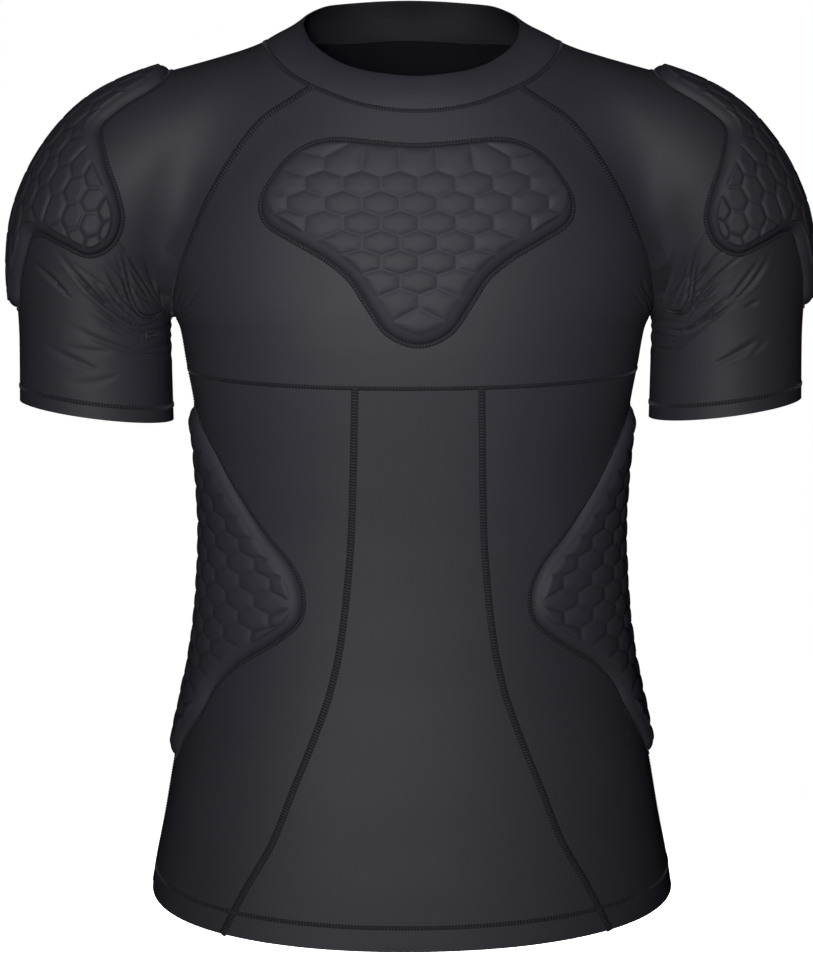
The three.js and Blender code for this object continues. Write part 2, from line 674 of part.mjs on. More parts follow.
// A quilted pad: six-sided cells fill the outline, the outermost corners slide onto it
function padSolid(outline, { cell, height, groove, bevel }, toSurface) {
  const [wide, tall] = cell;
  const corner = [[0, 2 / 3], [0.5, 1 / 3], [0.5, -1 / 3], [0, -2 / 3], [-0.5, -1 / 3], [-0.5, 1 / 3]];
  const box = new THREE.Box3().setFromPoints(outline);
  const middle = box.getCenter(vector(0, 0, 0));
  const cells = [];
  const reach = Math.ceil(box.getSize(vector(0, 0, 0)).length() / tall);
  for (let row = -reach; row <= reach; row += 1) {
    for (let column = -reach; column <= reach; column += 1) {
      const shift = row % 2 === 0 ? 0 : 0.5;
      const u = middle.x + (column + shift) * wide;
      const v = middle.y + row * tall;
      if (insideOutline(outline, u, v)) {
        const corners = corner.map(([a, b]) => ({
          u: u + a * wide,
          v: v + b * tall,
          key: `${Math.round(2 * (column + shift + a))} ${Math.round(3 * (row + b))}`,
        }));
        cells.push({ u, v, corners });
      }
    }
  }
  const edges = new Map();
  const ways = new Map();
  cells.forEach(({ corners }) => corners.forEach((from, i) => {
    const to = corners[(i + 1) % 6];
    if (ways.has(`${to.key}|${from.key}`)) ways.delete(`${to.key}|${from.key}`);
    else ways.set(`${from.key}|${to.key}`, [from, to]);
  }));
  ways.forEach(([from, to]) => edges.set(from.key, { from, to }));
  const count = outline.length;
  const nearestTo = ({ u, v }) => outline.reduce((best, p, i) => (
    Math.hypot(p.x - u, p.y - v) < Math.hypot(outline[best].x - u, outline[best].y - v) ? i : best), 0);
  const loop = [];
  let next = edges.values().next().value;
  while (loop.length < edges.size) {
    loop.push(next.from);
    next = edges.get(next.to.key);
  }
  let marks = loop.map(nearestTo);
  for (let i = 1; i < marks.length; i += 1) {
    const jump = marks[i] - marks[i - 1];
    marks[i] -= Math.round(jump / count) * count;
  }
  const lap = Math.sign(marks[marks.length - 1] - marks[0]) * count;
  for (let round = 0; round < 4; round += 1) {
    marks = marks.map((mark, i) => {
      const before = i === 0 ? marks[marks.length - 1] - lap : marks[i - 1];
      const after = i === marks.length - 1 ? marks[0] + lap : marks[i + 1];
      return mark / 2 + (before + after) / 4;
    });
  }
  const onOutline = (mark) => {
    const at = ((mark % count) + count) % count;
    const i = Math.floor(at) % count;
    return outline[i].clone().lerp(outline[(i + 1) % count], at - Math.floor(at));
  };
  const slots = new Map(loop.map(({ key }, i) => {
    const p = onOutline(marks[i]);
    const way = onOutline(marks[i] + 1).sub(onOutline(marks[i] - 1));
    const inward = vector(-way.y, way.x, 0).normalize();
    if (!insideOutline(outline, p.x + inward.x, p.y + inward.y)) inward.negate();
    return [key, { p, inward }];
  }));
  const raised = (u, v, lift) => {
    const p = toSurface(u, v);
    return p.clone().addScaledVector(outwardAt(p), lift);
  };
  const made = new Map();
  const place = ({ u, v, key }) => {
    if (!made.has(key)) {
      if (!slots.has(key)) {
        made.set(key, { top: raised(u, v, groove), foot: raised(u, v, PAD_LIFT) });
      } else {
        const { p, inward } = slots.get(key);
        made.set(key, {
          top: raised(p.x + inward.x * bevel, p.y + inward.y * bevel, groove),
          foot: raised(p.x, p.y, PAD_LIFT),
        });
      }
    }
    return made.get(key);
  };
  const solid = new Solid();
  cells.forEach(({ corners }) => {
    const ring = corners.map(place);
    const middleFoot = settle(ring.reduce((sum, { foot }) => sum.add(foot), vector(0, 0, 0)).divideScalar(6));
    middleFoot.addScaledVector(outwardAt(middleFoot), PAD_LIFT);
    const middleTop = ring.reduce((sum, { top }) => sum.add(top), vector(0, 0, 0)).divideScalar(6);
    middleTop.addScaledVector(outwardAt(middleTop), height - groove);
    ring.forEach(({ top, foot }, i) => {
      const k = (i + 1) % 6;
      solid.face(middleTop, top, ring[k].top);
      solid.face(middleFoot, ring[k].foot, foot);
    });
  });
  ways.forEach(([from, to]) => {
    const [a, b] = [place(from), place(to)];
    solid.face(b.top, a.top, a.foot, b.foot);
  });
  return solid;
}

// Chest pad: laid straight back onto the chest
const chestOutline = smoothOutline([
  ...CHEST_PAD.outline.map(({ x, z }) => [x, z]),
  ...CHEST_PAD.outline.slice(1, -1).reverse().map(({ x, z }) => [-x, z]),
]);
const onChest = (u, v) => leave(vector(u, 0, v), vector(0, -1, 0));

// Shoulder pad: u runs round the arm from the ridge, v runs up the arm path
const armRadius = along(ARM, 'along', 'radius', SHOULDER_RUN + bendLength / 2);
const armCoordinates = ({ x, z }) => {
  const p = leave(vector(Math.min(x, underarm.x + 2 * armRadius - 3), ARM_SET_BACK, z), vector(0, -1, 0));
  const { length } = armNearest(p.x, p.z);
  const from = p.sub(armAt(length).place);
  return [Math.atan2(-from.y, from.dot(armAt(length).outward)) * armRadius, -length * SHOULDER_PAD.stretch];
};
const shoulderEdge = SHOULDER_PAD.outline.map(armCoordinates);
const shoulderOutline = smoothOutline([
  ...shoulderEdge,
  ...[...shoulderEdge].reverse().map(([u, v]) => [-u, v]),
]);
const onShoulder = (side) => (u, v) => {
  const { place, outward } = armAt(-v / SHOULDER_PAD.stretch);
  const turn = u / armRadius;
  const p = leave(place, outward.clone().multiplyScalar(Math.cos(turn)).add(vector(0, -Math.sin(turn), 0)));
  return side < 0 ? mirrored(p) : p;
};

// Rib pad: u is the way round the trunk from the side seam, v is the height
function ringLengths(z) {
  const steps = 36;
  const points = Array.from({ length: steps + 1 }, (_, i) => trunkPoint(Math.PI / 2 - (i / steps) * Math.PI / 2, z));
  const backPoints = Array.from({ length: steps + 1 }, (_, i) => trunkPoint(Math.PI / 2 + (i / steps) * Math.PI / 2, z));
  const measure = (list) => list.reduce((sums, p, i) => [...sums, i === 0 ? 0 : sums[i - 1] + p.distanceTo(list[i - 1])], []);
  return { points, backPoints, front: measure(points), rear: measure(backPoints) };
}
const ringStore = new Map();
const ringAt = (z) => {
  const key = Math.round(z * 10);
  if (!ringStore.has(key)) ringStore.set(key, ringLengths(z));
  return ringStore.get(key);
};
const ribReach = ({ x, z }) => {
  const { points, front } = ringAt(z);
  let i = 0;
  while (i < points.length - 2 && points[i + 1].x > x) i += 1;
  return [front[i] + (front[i + 1] - front[i]) * clamp((points[i].x - x) / (points[i].x - points[i + 1].x), 0, 1), z];
};
const ribEdge = RIB_PAD.edge.map(ribReach);
const ribOutline = smoothOutline([...ribEdge, ...[...ribEdge].reverse().map(([u, v]) => [-u, v])]);
const onRibs = (side) => (u, v) => {
  const ring = ringAt(v);
  const list = u >= 0 ? ring.front : ring.rear;
  let i = 0;
  while (i < list.length - 2 && list[i + 1] < Math.abs(u)) i += 1;
  const share = (Math.abs(u) - list[i]) / (list[i + 1] - list[i]);
  const turn = Math.PI / 2 - Math.sign(u || 1) * ((i + share) / (list.length - 1)) * Math.PI / 2;
  const p = trunkPoint(turn, v);
  return side < 0 ? mirrored(p) : p;
};

const all = () => true;
const mirroredPanel = (panel) => panel.map((line) => line.map(({ outer, inner }) => (
  { outer: mirrored(outer), inner: mirrored(inner) })));

// The sleeve's tip at the underarm hangs just below the point where the front and back panels meet
const sleeve = sewnPanel(sleeveRows, { top: true, foot: false, sides: (j) => j < RAGLAN_ROWS });
const tipDrop = sleeveRows[RAGLAN_ROWS + 1][0].clone().sub(underarm).normalize().multiplyScalar(SEAM_GAP)
  .add(vector(SEAM_GAP / 2, 0, 0));
[0, SLEEVE_COLUMNS].forEach((i) => {
  const { outer, inner } = sleeve[RAGLAN_ROWS][i];
  sleeve[RAGLAN_ROWS][i] = { outer: outer.clone().add(tipDrop), inner: inner.clone().add(tipDrop) };
});
const sleeveClosed = (j) => j >= RAGLAN_ROWS;
const frontSide = sewnPanel(sideGrid, { top: true, foot: false, sides: all });

const shirt = new THREE.Group();
shirt.add(
  collarSolid().mesh('collar', COLORS.collar, 0.55),
  wall(sewnPanel(yokeGrid, { top: true, foot: true, sides: all })).mesh('front_yoke', COLORS.cloth, 0.5),
  wall(sewnPanel(centreGrid, { top: true, foot: false, sides: all })).mesh('front_centre', COLORS.cloth, 0.5),
  wall(frontSide).mesh('front_side_left', COLORS.cloth, 0.5),
  wall(mirroredPanel(frontSide)).mesh('front_side_right', COLORS.cloth, 0.5),
  wall(sewnPanel(backGrid, { top: true, foot: false, sides: all })).mesh('back', COLORS.cloth, 0.5),
  wall(sleeve, sleeveClosed).mesh('sleeve_left', COLORS.cloth, 0.5),
  wall(mirroredPanel(sleeve), sleeveClosed).mesh('sleeve_right', COLORS.cloth, 0.5),
  padSolid(chestOutline, CHEST_PAD, onChest).mesh('chest_pad', COLORS.pad, 0.6),
  padSolid(shoulderOutline, SHOULDER_PAD, onShoulder(1)).mesh('shoulder_pad_left', COLORS.pad, 0.6),
  padSolid(shoulderOutline, SHOULDER_PAD, onShoulder(-1)).mesh('shoulder_pad_right', COLORS.pad, 0.6),
  padSolid(ribOutline, RIB_PAD, onRibs(1)).mesh('rib_pad_left', COLORS.pad, 0.6),
  padSolid(ribOutline, RIB_PAD, onRibs(-1)).mesh('rib_pad_right', COLORS.pad, 0.6),
);

export default shirt;
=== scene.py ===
import bmesh
import bpy
import numpy as np
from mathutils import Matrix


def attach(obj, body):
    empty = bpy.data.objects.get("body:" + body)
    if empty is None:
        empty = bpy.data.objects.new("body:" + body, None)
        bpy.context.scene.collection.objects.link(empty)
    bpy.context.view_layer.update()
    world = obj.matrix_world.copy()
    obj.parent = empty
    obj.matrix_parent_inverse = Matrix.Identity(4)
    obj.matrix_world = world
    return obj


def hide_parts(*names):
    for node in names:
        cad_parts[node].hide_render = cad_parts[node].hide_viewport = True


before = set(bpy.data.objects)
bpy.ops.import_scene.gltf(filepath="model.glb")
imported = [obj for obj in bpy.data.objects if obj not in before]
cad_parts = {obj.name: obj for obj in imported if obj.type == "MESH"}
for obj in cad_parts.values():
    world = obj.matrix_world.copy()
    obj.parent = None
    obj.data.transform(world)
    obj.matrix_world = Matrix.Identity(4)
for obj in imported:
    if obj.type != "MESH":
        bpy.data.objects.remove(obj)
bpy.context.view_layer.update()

print("frame loaded:", len(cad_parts), "nodes")

# All shapes are worked out in millimetres and put into the meshes in metres.
# The camera stands where the photograph was taken from.
view = {"place": (-0.074, -2.0, -0.014), "tiltDown": 8.6, "turn": -2.0, "lens": 105.3}
cameraData = bpy.data.cameras.new("photoCamera")
cameraData.lens = view["lens"]
camera = bpy.data.objects.new("photoCamera", cameraData)
camera.location = view["place"]
camera.rotation_euler = (np.radians(90 - view["tiltDown"]), 0, np.radians(view["turn"]))
bpy.context.collection.objects.link(camera)
bpy.context.scene.camera = camera

# The figure that the shirt is worn on: level sections of the trunk
# (height: half width, depth in front, depth behind, roundness)
trunkSections = {
    -660: (196, 116, 116, 2.3), -600: (188, 112, 113, 2.3), -560: (180, 108, 109, 2.3),
    -520: (173, 105, 104, 2.3), -480: (164.5, 102, 99, 2.25), -440: (156, 100, 95, 2.25),
    -400: (151, 100, 93, 2.25), -350: (148.5, 102, 94, 2.25), -300: (151, 107, 98, 2.3),
    -258: (156, 112, 103, 2.35), -230: (161, 115, 106, 2.35), -206: (165, 116, 108, 2.4),
    -190: (171, 116, 109, 2.4), -150: (175, 113, 108, 2.35), -110: (166, 106, 104, 2.3),
    -80: (152, 96, 98, 2.25), -50: (130, 83, 88, 2.2), -25: (106, 71, 77, 2.15),
    0: (82, 60, 65, 2.1), 30: (60, 46, 52, 2.0),
}
armRadii = {0: 48, 50: 50, 107: 54.5, 150: 59.5, 190: 59, 229: 56, 270: 54, 340: 55, 400: 55.5}
meltWidths = {-260: 4, -200: 6, -185: 12, -150: 22, -100: 30, 20: 30}
armPath = {"startX": 60, "startZ": -41.5, "slope": 20, "slopeRun": 106.6, "bendRadius": 100,
           "upperRun": 170, "setBack": 3}


# Smooth curve through a table's rows: cubic between rows,
# its slope at a row the harmonic mean of the rises beside it
def curveThrough(table, at, column=None):
    key = np.array(sorted(table), float)
    value = np.array([table[k] if column is None else table[k][column] for k in sorted(table)], float)
    step = np.diff(key)
    rise = np.diff(value) / step
    slope = np.zeros(len(key))
    same = rise[:-1] * rise[1:] > 0
    total = np.where(same, rise[:-1] + rise[1:], 1)
    slope[1:-1] = np.where(same, 2 * rise[:-1] * rise[1:] / total, 0)
    at = np.clip(at, key[0], key[-1])
    i = np.clip(np.searchsorted(key, at, side="right") - 1, 0, len(step) - 1)
    t = (at - key[i]) / step[i]
    back = 1 - t
    ends = value[i] * (1 + 2 * t) * back**2 + value[i + 1] * t * t * (3 - 2 * t)
    return ends + step[i] * t * back * (slope[i] * back - slope[i + 1] * t)


def mix(a, b, share):
    return a + (b - a) * share


def unit(v):
    return v / np.maximum(np.linalg.norm(v, axis=-1, keepdims=True), 1e-12)


def vectors(*parts):
    return np.stack(np.broadcast_arrays(*parts), axis=-1).astype(float)


# Soft step from 0 to 1 between two values
def softStep(low, high, at):
    t = np.clip((at - low) / (high - low), 0, 1)
    return t * t * (3 - 2 * t)


slopeAngle = np.radians(armPath["slope"])
bendStart = np.array([armPath["startX"] + armPath["slopeRun"] * np.cos(slopeAngle),
                      armPath["startZ"] - armPath["slopeRun"] * np.sin(slopeAngle)])
bendCentre = bendStart - armPath["bendRadius"] * np.array([np.sin(slopeAngle), np.cos(slopeAngle)])
bendLength = armPath["bendRadius"] * (np.pi / 2 - slopeAngle)


# Place, outward and onward directions of the arm's axis: a sloping line, a bend, then straight down
def armAt(length):
    onBend = np.asarray(length, float) - armPath["slopeRun"]
    angle = np.clip(slopeAngle + onBend / armPath["bendRadius"], slopeAngle, np.pi / 2)
    outward = vectors(np.sin(angle), 0, np.cos(angle))
    onward = vectors(np.cos(angle), 0, -np.sin(angle))
    straight = np.where(onBend < 0, onBend, np.maximum(0, onBend - bendLength))
    middle = np.array([bendCentre[0], armPath["setBack"], bendCentre[1]])
    return middle + armPath["bendRadius"] * outward + straight[..., None] * onward, outward, onward


# Length along the arm's axis of its point nearest to (x, z), and the distance to it
def armNearest(x, z):
    fromBend = np.arctan2(x - bendCentre[0], z - bendCentre[1])
    sloping = (x - armPath["startX"]) * np.cos(slopeAngle) - (z - armPath["startZ"]) * np.sin(slopeAngle)
    lengths = np.stack([
        np.clip(sloping, 0, armPath["slopeRun"]),
        armPath["slopeRun"] + armPath["bendRadius"] * (np.clip(fromBend, slopeAngle, np.pi / 2) - slopeAngle),
        armPath["slopeRun"] + bendLength + np.clip(bendCentre[1] - z, 0, armPath["upperRun"]),
    ])
    place = armAt(lengths)[0]
    far = np.hypot(place[..., 0] - x, place[..., 2] - z)
    nearest = far.argmin(axis=0)[None]
    return np.take_along_axis(lengths, nearest, 0)[0], np.take_along_axis(far, nearest, 0)[0]


# Half width of the trunk at a height, and its depth in front or behind
def trunkSize(z, behind):
    depth = np.where(behind, curveThrough(trunkSections, z, 2), curveThrough(trunkSections, z, 1))
    return curveThrough(trunkSections, z, 0), depth


# Distance outside the trunk and the arm together:
# the smaller of the two, less a soft melt where they are alike
def outside(p):
    x, y, z = np.abs(p[..., 0]), p[..., 1], p[..., 2]
    half, depth = trunkSize(z, y >= 0)
    power = curveThrough(trunkSections, z, 3)
    size = ((x / half) ** power + (np.abs(y) / depth) ** power) ** (1 / power)
    trunk = np.where(size < 1e-6, -np.minimum(half, depth), np.hypot(x, y) * (1 - 1 / np.maximum(size, 1e-6)))
    length, far = armNearest(x, z)
    arm = np.hypot(far, y - armPath["setBack"]) - curveThrough(armRadii, length)
    width = curveThrough(meltWidths, z)
    overlap = np.maximum(width - np.abs(trunk - arm), 0) / width
    return np.minimum(trunk, arm) - overlap * overlap * width / 4


# Outward normal of the figure: the slope of that distance along the three axes
def outwardAt(p):
    steps = 0.2 * np.eye(3)
    return unit(np.stack([outside(p + step) - outside(p - step) for step in steps], axis=-1))


# Where lines from inside the figure leave it: each step is a share of the distance still to go
def leave(origin, direction):
    origin, direction = np.broadcast_arrays(np.asarray(origin, float), np.asarray(direction, float))
    gone = np.zeros(origin.shape[:-1])
    for _ in range(60):
        left = -outside(origin + direction * gone[..., None])
        gone = np.maximum(gone + 0.75 * left, 0)
        if np.abs(left).max() < 1e-3:
            break
    return origin + direction * gone[..., None]


# Points of the figure in front (face -1) or behind (face 1) of places in the front view
def ontoFace(x, z, face, y=armPath["setBack"]):
    return leave(vectors(x, y, z), np.array([0, face, 0]))


# Points near the figure slide along its normal until they lie on it
def settle(p, rounds=5):
    for _ in range(rounds):
        p = p - outwardAt(p) * outside(p)[..., None]
    return p


# Point of the trunk's surface at a height and a turn:
# 0 in front, a quarter turn at the side seams, half a turn at the back
def trunkPoint(turn, z):
    turn, z = np.broadcast_arrays(np.asarray(turn, float), np.asarray(z, float))
    half, depth = trunkSize(z, np.abs(turn) > np.pi / 2)
    return leave(vectors(0, 0, z), unit(vectors(half * np.sin(turn), -depth * np.cos(turn), 0)))


# Turn of a point on the trunk, the other way round
def trunkTurn(p):
    half, depth = trunkSize(p[..., 2], p[..., 1] > 0)
    return np.arctan2(p[..., 0] / half, -p[..., 1] / depth)


def mirrored(p):
    return p * [-1, 1, 1]


# Length run so far at each point of a row, or of each row of a grid
def runLengths(points):
    steps = np.linalg.norm(np.diff(points, axis=-2), axis=-1)
    start = np.zeros(steps.shape[:-1] + (1,))
    return np.concatenate([start, np.cumsum(steps, axis=-1)], axis=-1)


# Equal steps of length along a row of points
def evenly(points, steps):
    lengths = runLengths(points)
    wanted = np.linspace(0, lengths[-1], steps + 1)
    return np.stack([np.interp(wanted, lengths, points[:, axis]) for axis in range(points.shape[1])], axis=1)


# Seams: neck and free edge of the collar (turn round the neck: radius, height),
# raglans and princess seams (height: half width)
neckSeam = {0: (84, -51), 25: (84, -49), 43: (87, -42.5), 60: (93, -33), 74: (99, -20), 88: (103, -7),
            101: (103, -2), 116: (97, -1), 134: (84, -2), 180: (66, -3)}
collarEdge = {0: (66, -28), 25: (67, -25.5), 43: (70, -20.5), 60: (73, -12), 74: (75, -4), 88: (76, 3.5),
              101: (79, 9), 116: (82, 15), 134: (79, 21), 180: (64, 24.5)}
raglanFrontX = {-196: 171, -184: 170, -160: 163.5, -138: 154, -112: 141, -84: 122, -58: 98, -40: 68,
                -26: 46}
raglanBackX = {-196: 171, -184: 170, -160: 164, -125: 150, -85: 127, -45: 96, -20: 73, -2: 56,
               14: 40}
princessX = {-640: 143, -624: 136, -592: 120, -558: 101, -522: 87, -487: 73, -451: 60.5, -419: 53.5,
             -378: 48.5, -338: 45.5, -284: 44, -230: 43}
seams = {"frontTurn": 50, "backTurn": 138, "chestFrontZ": -237, "chestSideZ": -234, "hemSideZ": -613,
         "hemFrontDrop": 19.5, "hemBackDrop": 12, "hemCurve": 1.2, "cuffInnerZ": -272, "cuffRise": 15,
         "neckArcLength": 27, "gap": 0.3, "wall": 1.5}
underarm = np.array([170.03, 1.5, -197.85])
startLength = armPath["slopeRun"] + bendLength + bendCentre[1] - underarm[2]
sleeveAxis = armAt(np.array(startLength))[0]


# Points round the sleeve below the underarm, and the cuff's height there (turn 0 is the outside)
def roundSleeve(turn, z):
    return leave(vectors(sleeveAxis[0], sleeveAxis[1], z), vectors(np.cos(turn), -np.sin(turn), 0))


def cuffZ(turn):
    return seams["cuffInnerZ"] + seams["cuffRise"] * (1 + np.cos(turn)) / 2


def neckPoint(turn):
    away = np.abs(turn)
    angle = np.radians(away)
    radius = curveThrough(neckSeam, away, 0)
    p = settle(vectors(radius * np.sin(angle), -radius * np.cos(angle), curveThrough(neckSeam, away, 1)), 12)
    return np.where((np.asarray(turn) < 0)[..., None], mirrored(p), p)


def chestSeamZ(turn):
    return mix(seams["chestSideZ"], seams["chestFrontZ"], np.maximum(0, np.cos(turn)) ** 2)


def hemZ(turn):
    drop = np.where(np.abs(turn) > np.pi / 2, seams["hemBackDrop"], seams["hemFrontDrop"])
    return seams["hemSideZ"] - drop * np.abs(np.cos(turn)) ** seams["hemCurve"]


# Raglan seam from the neck to the underarm: the table's width at each height, laid onto the figure
def raglanLine(table, turn, face, steps):
    top = neckPoint(np.array([turn]))[0]
    t = np.linspace(0, 1, 161)
    z = mix(top[2], underarm[2], t)
    shift = (top[0] - curveThrough(table, top[2])) * (1 - t) ** 3
    line = ontoFace(curveThrough(table, z) + shift, z, face)
    line[0], line[-1] = top, underarm
    return evenly(line, steps)


# Turn of the princess seam in each row of the lower front, found by halving
def princessTurns(share):
    low, high = np.zeros(len(share)), np.full(len(share), np.pi / 2)
    for _ in range(30):
        middle = (low + high) / 2
        z = mix(chestSeamZ(middle), hemZ(middle), share)
        inner = trunkPoint(middle, z)[:, 0] < curveThrough(princessX, z)
        low, high = np.where(inner, middle, low), np.where(inner, high, middle)
    return (low + high) / 2


# Creases. Each row: points in the front view (half width, height), depth, width; a minus depth makes a ridge.
# A row's first point is the end by the underarm. "front" rows are laid on the front, "back" rows on the back.
rightCreases = {
    "front": [
        ([(174, -190), (185.1, -194.5), (199.2, -164.6), (205.3, -141)], 1.5, 1.7),
        ([(176, -194), (187.1, -195.7), (201.3, -170.1), (209.5, -147)], 1.4, 1.6),
        ([(189.8, -195.4), (206.1, -174.9), (215.8, -153)], 1.0, 1.5),
        ([(191.8, -198.1), (210.3, -178.2), (221.4, -159.2)], 0.8, 1.5),
        ([(178, -197), (188.5, -201.2), (213, -181.6), (230.3, -156)], 1.1, 1.6),
        ([(186.6, -204.2), (215.1, -183.7), (232, -168.9), (244.2, -150), (253, -141)], 1.4, 1.9),
        ([(175, -207), (185.3, -207.9), (211.9, -194.3), (233.6, -175.9)], 1.1, 1.6),
        ([(176, -211), (185.4, -210), (212, -200.6), (232.4, -187.1)], 0.9, 1.8),
        ([(176, -223), (188.8, -222.3), (205.5, -214.1), (229.3, -205.9), (243.2, -197)], 0.9, 2.6),
        ([(219, -231), (241, -222), (264, -210)], 0.7, 3.2),
        ([(237.9, -181.5), (249.7, -169.3), (269.5, -153.7)], 1.2, 1.8),
        ([(186, -212), (226, -217), (266, -206)], 0.4, 2.4),
        ([(176.6, -189.9), (178.2, -176.7), (179.2, -165.8)], 0.9, 1.5),
        ([(173.2, -188.7), (174.1, -178.3), (173.8, -169.5)], 0.9, 1.5),
        ([(169.2, -187.3), (169.6, -177.8), (168.4, -167.4)], 0.8, 1.5),
        ([(163.4, -184.2), (155.8, -174), (148.5, -166.4)], -0.9, 1.8),
        ([(159.1, -191.3), (148.7, -183), (137.3, -175.9)], -0.9, 2.1),
        ([(205, -233), (228, -240), (250, -238)], 0.4, 3.4),
    ],
    "back": [
        ([(178, -193), (190, -188), (199, -166), (206, -146)], 1.3, 1.7),
        ([(180, -198), (196, -186), (213, -158)], 1.1, 1.6),
        ([(184, -201), (208, -180), (224, -160)], 1.2, 1.7),
        ([(180, -207), (212, -190), (236, -168)], 1.0, 1.9),
        ([(182, -214), (214, -203), (240, -190)], 0.9, 2.2),
        ([(166, -190), (160, -176), (152, -162)], 0.9, 1.9),
        ([(160, -196), (148, -186), (134, -178)], -0.8, 2.2),
    ],
}
leftCreases = {
    "front": [
        ([(176, -189), (185.5, -192.8), (191.9, -173.1), (198.5, -146)], 1.5, 1.7),
        ([(177, -193), (188, -194), (195, -169.4), (201.3, -149)], 1.5, 1.6),
        ([(182.4, -193.1), (189.4, -173.3), (193.8, -156.7), (192.5, -142)], 1.0, 1.5),
        ([(189.3, -196.7), (199.8, -177.7), (207.3, -161.9)], 0.9, 1.5),
        ([(191.2, -198), (207.6, -174.6), (222.9, -159)], 0.9, 1.6),
        ([(177, -205), (188.8, -205.3), (210, -188.6), (225.5, -177.2)], 1.2, 1.6),
        ([(190.1, -208), (208.2, -196.4), (227, -182.1)], 0.9, 1.6),
        ([(174, -214), (185.2, -214.1), (200.4, -203.8), (216.9, -194.1)], 0.9, 1.7),
        ([(173, -220), (178.7, -220.1), (194, -211.2)], 0.9, 1.8),
        ([(210, -228), (229, -218.5), (249, -205.5)], 0.9, 2.8),
        ([(236.6, -221.7), (249.7, -208.1)], 0.6, 2.8),
        ([(230.8, -188.5), (241.5, -183.1)], 0.7, 1.9),
        ([(223.6, -182.8), (239.5, -165.5), (249.4, -147)], 0.9, 2.1),
        ([(216, -185), (231, -168), (243, -150)], 0.8, 1.9),
        ([(172.6, -193), (160.5, -185.4), (153.4, -179.5)], -1.0, 2.0),
        ([(167.3, -184), (160, -174), (155.6, -164.4)], 0.8, 1.9),
    ],
    "back": [
        ([(177, -192), (188, -186), (196, -163), (203, -143)], 1.2, 1.8),
        ([(181, -197), (199, -181), (211, -160)], 1.2, 1.6),
        ([(183, -203), (206, -186), (227, -164)], 1.0, 1.8),
        ([(182, -209), (209, -196), (232, -178)], 1.1, 1.7),
        ([(180, -217), (211, -208), (236, -196)], 0.8, 2.4),
        ([(165, -188), (157, -175), (150, -160)], 0.9, 1.9),
        ([(161, -198), (150, -190), (138, -184)], -0.7, 2.4),
    ],
}
# Small folds round the inside of the sleeve under the arm: height, lean, depth, width
innerFolds = {
    1: [(-203, -3, 1.0, 2.0), (-210, 2, 1.2, 2.2), (-219, -4, 0.9, 2.4)],
    -1: [(-202, 3, 1.1, 1.9), (-208, -3, 1.3, 2.1), (-215, 3, 1.1, 2.3), (-225, -3, 0.7, 2.6)],
}
# Fine drag lines that fan out from each underarm: angle from level, near and far end, depth, width.
# Each of the four fans shifts them by its own waves, so that no two are alike.
fanCentre = (172, -203)
fanRays = [
    (33, 24, 60, 0.6, 1.0), (39, 20, 88, 0.7, 1.0), (46, 22, 70, 0.6, 0.95), (52, 17, 94, 0.8, 1.0),
    (58, 20, 66, 0.6, 0.95), (64, 15, 84, 0.8, 1.0), (70, 17, 62, 0.6, 0.95), (76, 14, 70, 0.7, 1.0),
    (82, 12, 48, 0.6, 0.95), (89, 11, 56, 0.6, 0.95), (98, 9, 34, 0.55, 0.95), (107, 9, 40, 0.6, 1.0),
    (117, 8, 28, 0.5, 0.95), (128, 9, 42, 0.6, 1.0), (140, 10, 27, 0.45, 1.0),
]
# Folds of the body below the rib pads, on both sides of the side seam: side, face, points, depth, width
bodyFolds = [
    (-1, -1, [(160, -497), (129.5, -488.3), (113.2, -488.1), (95.6, -489.9)], 0.8, 1.8),
    (1, -1, [(160, -499), (122.7, -491.3), (104.2, -490.3), (89.6, -490.9)], 0.8, 1.8),
    (-1, 1, [(160, -500), (128, -492), (104, -489), (82, -490)], 0.9, 2.2),
    (1, 1, [(160, -496), (131, -487), (110, -486), (90, -488)], 0.9, 2.2),
    (-1, 1, [(132, -402), (104, -396), (78, -397), (52, -402)], 0.8, 4.0),
    (1, 1, [(134, -410), (108, -403), (84, -402), (60, -405)], 0.8, 3.6),
    (-1, 1, [(128, -432), (100, -428), (70, -431)], 0.6, 3.8),
    (1, 1, [(126, -380), (98, -376), (66, -380)], 0.5, 4.2),
]


# How rows become creases: points along a line, gains on the rows' depths and widths, the fade at the
# near end as a share of the length, the width left by the underarm, and the swellings' share of the depth
creaseForm = {"samples": 44, "troughGain": 1.2, "ridgeGain": 0.4, "widthGain": 0.8, "innerGain": 0.55,
              "fadeNear": 0.12, "narrowest": 0.42, "swelling": 0.32, "deepening": 1.7}


# Smooth open curve through a few points: one polynomial of the length along their chords
def bentLine(points):
    points = np.array(points, float)
    chords = runLengths(points)
    share = chords / chords[-1]
    at = np.linspace(0, 1, creaseForm["samples"])
    degree = min(3, len(points) - 1)
    return np.stack([np.polyval(np.polyfit(share, points[:, axis], degree), at) for axis in (0, 1)], axis=1)


# One underarm's fan: straight lines on the figure, each a little bent
def fanOfLines(side, face):
    lines = []
    phase = 1.3 * side + 2.1 * face
    for i, (angle, near, far, depth, width) in enumerate(fanRays):
        turn = np.radians(angle + 2.2 * np.sin(2.1 * i + phase))
        run = np.linspace(0, 1, creaseForm["samples"])
        length = near + (far * (1 + 0.16 * np.sin(1.7 * i + 2 * phase)) - near) * run
        bend = turn + 0.05 * np.sin(2.9 * i + phase) * (run - run**2) * 4
        x, z = fanCentre[0] + length * np.cos(bend), fanCentre[1] + length * np.sin(bend)
        line = ontoFace(x, z, face)
        lines.append((line * [side, 1, 1], depth * (1.5 + 0.4 * np.sin(1.3 * i + phase)), width * 1.15, 0.6))
    return lines


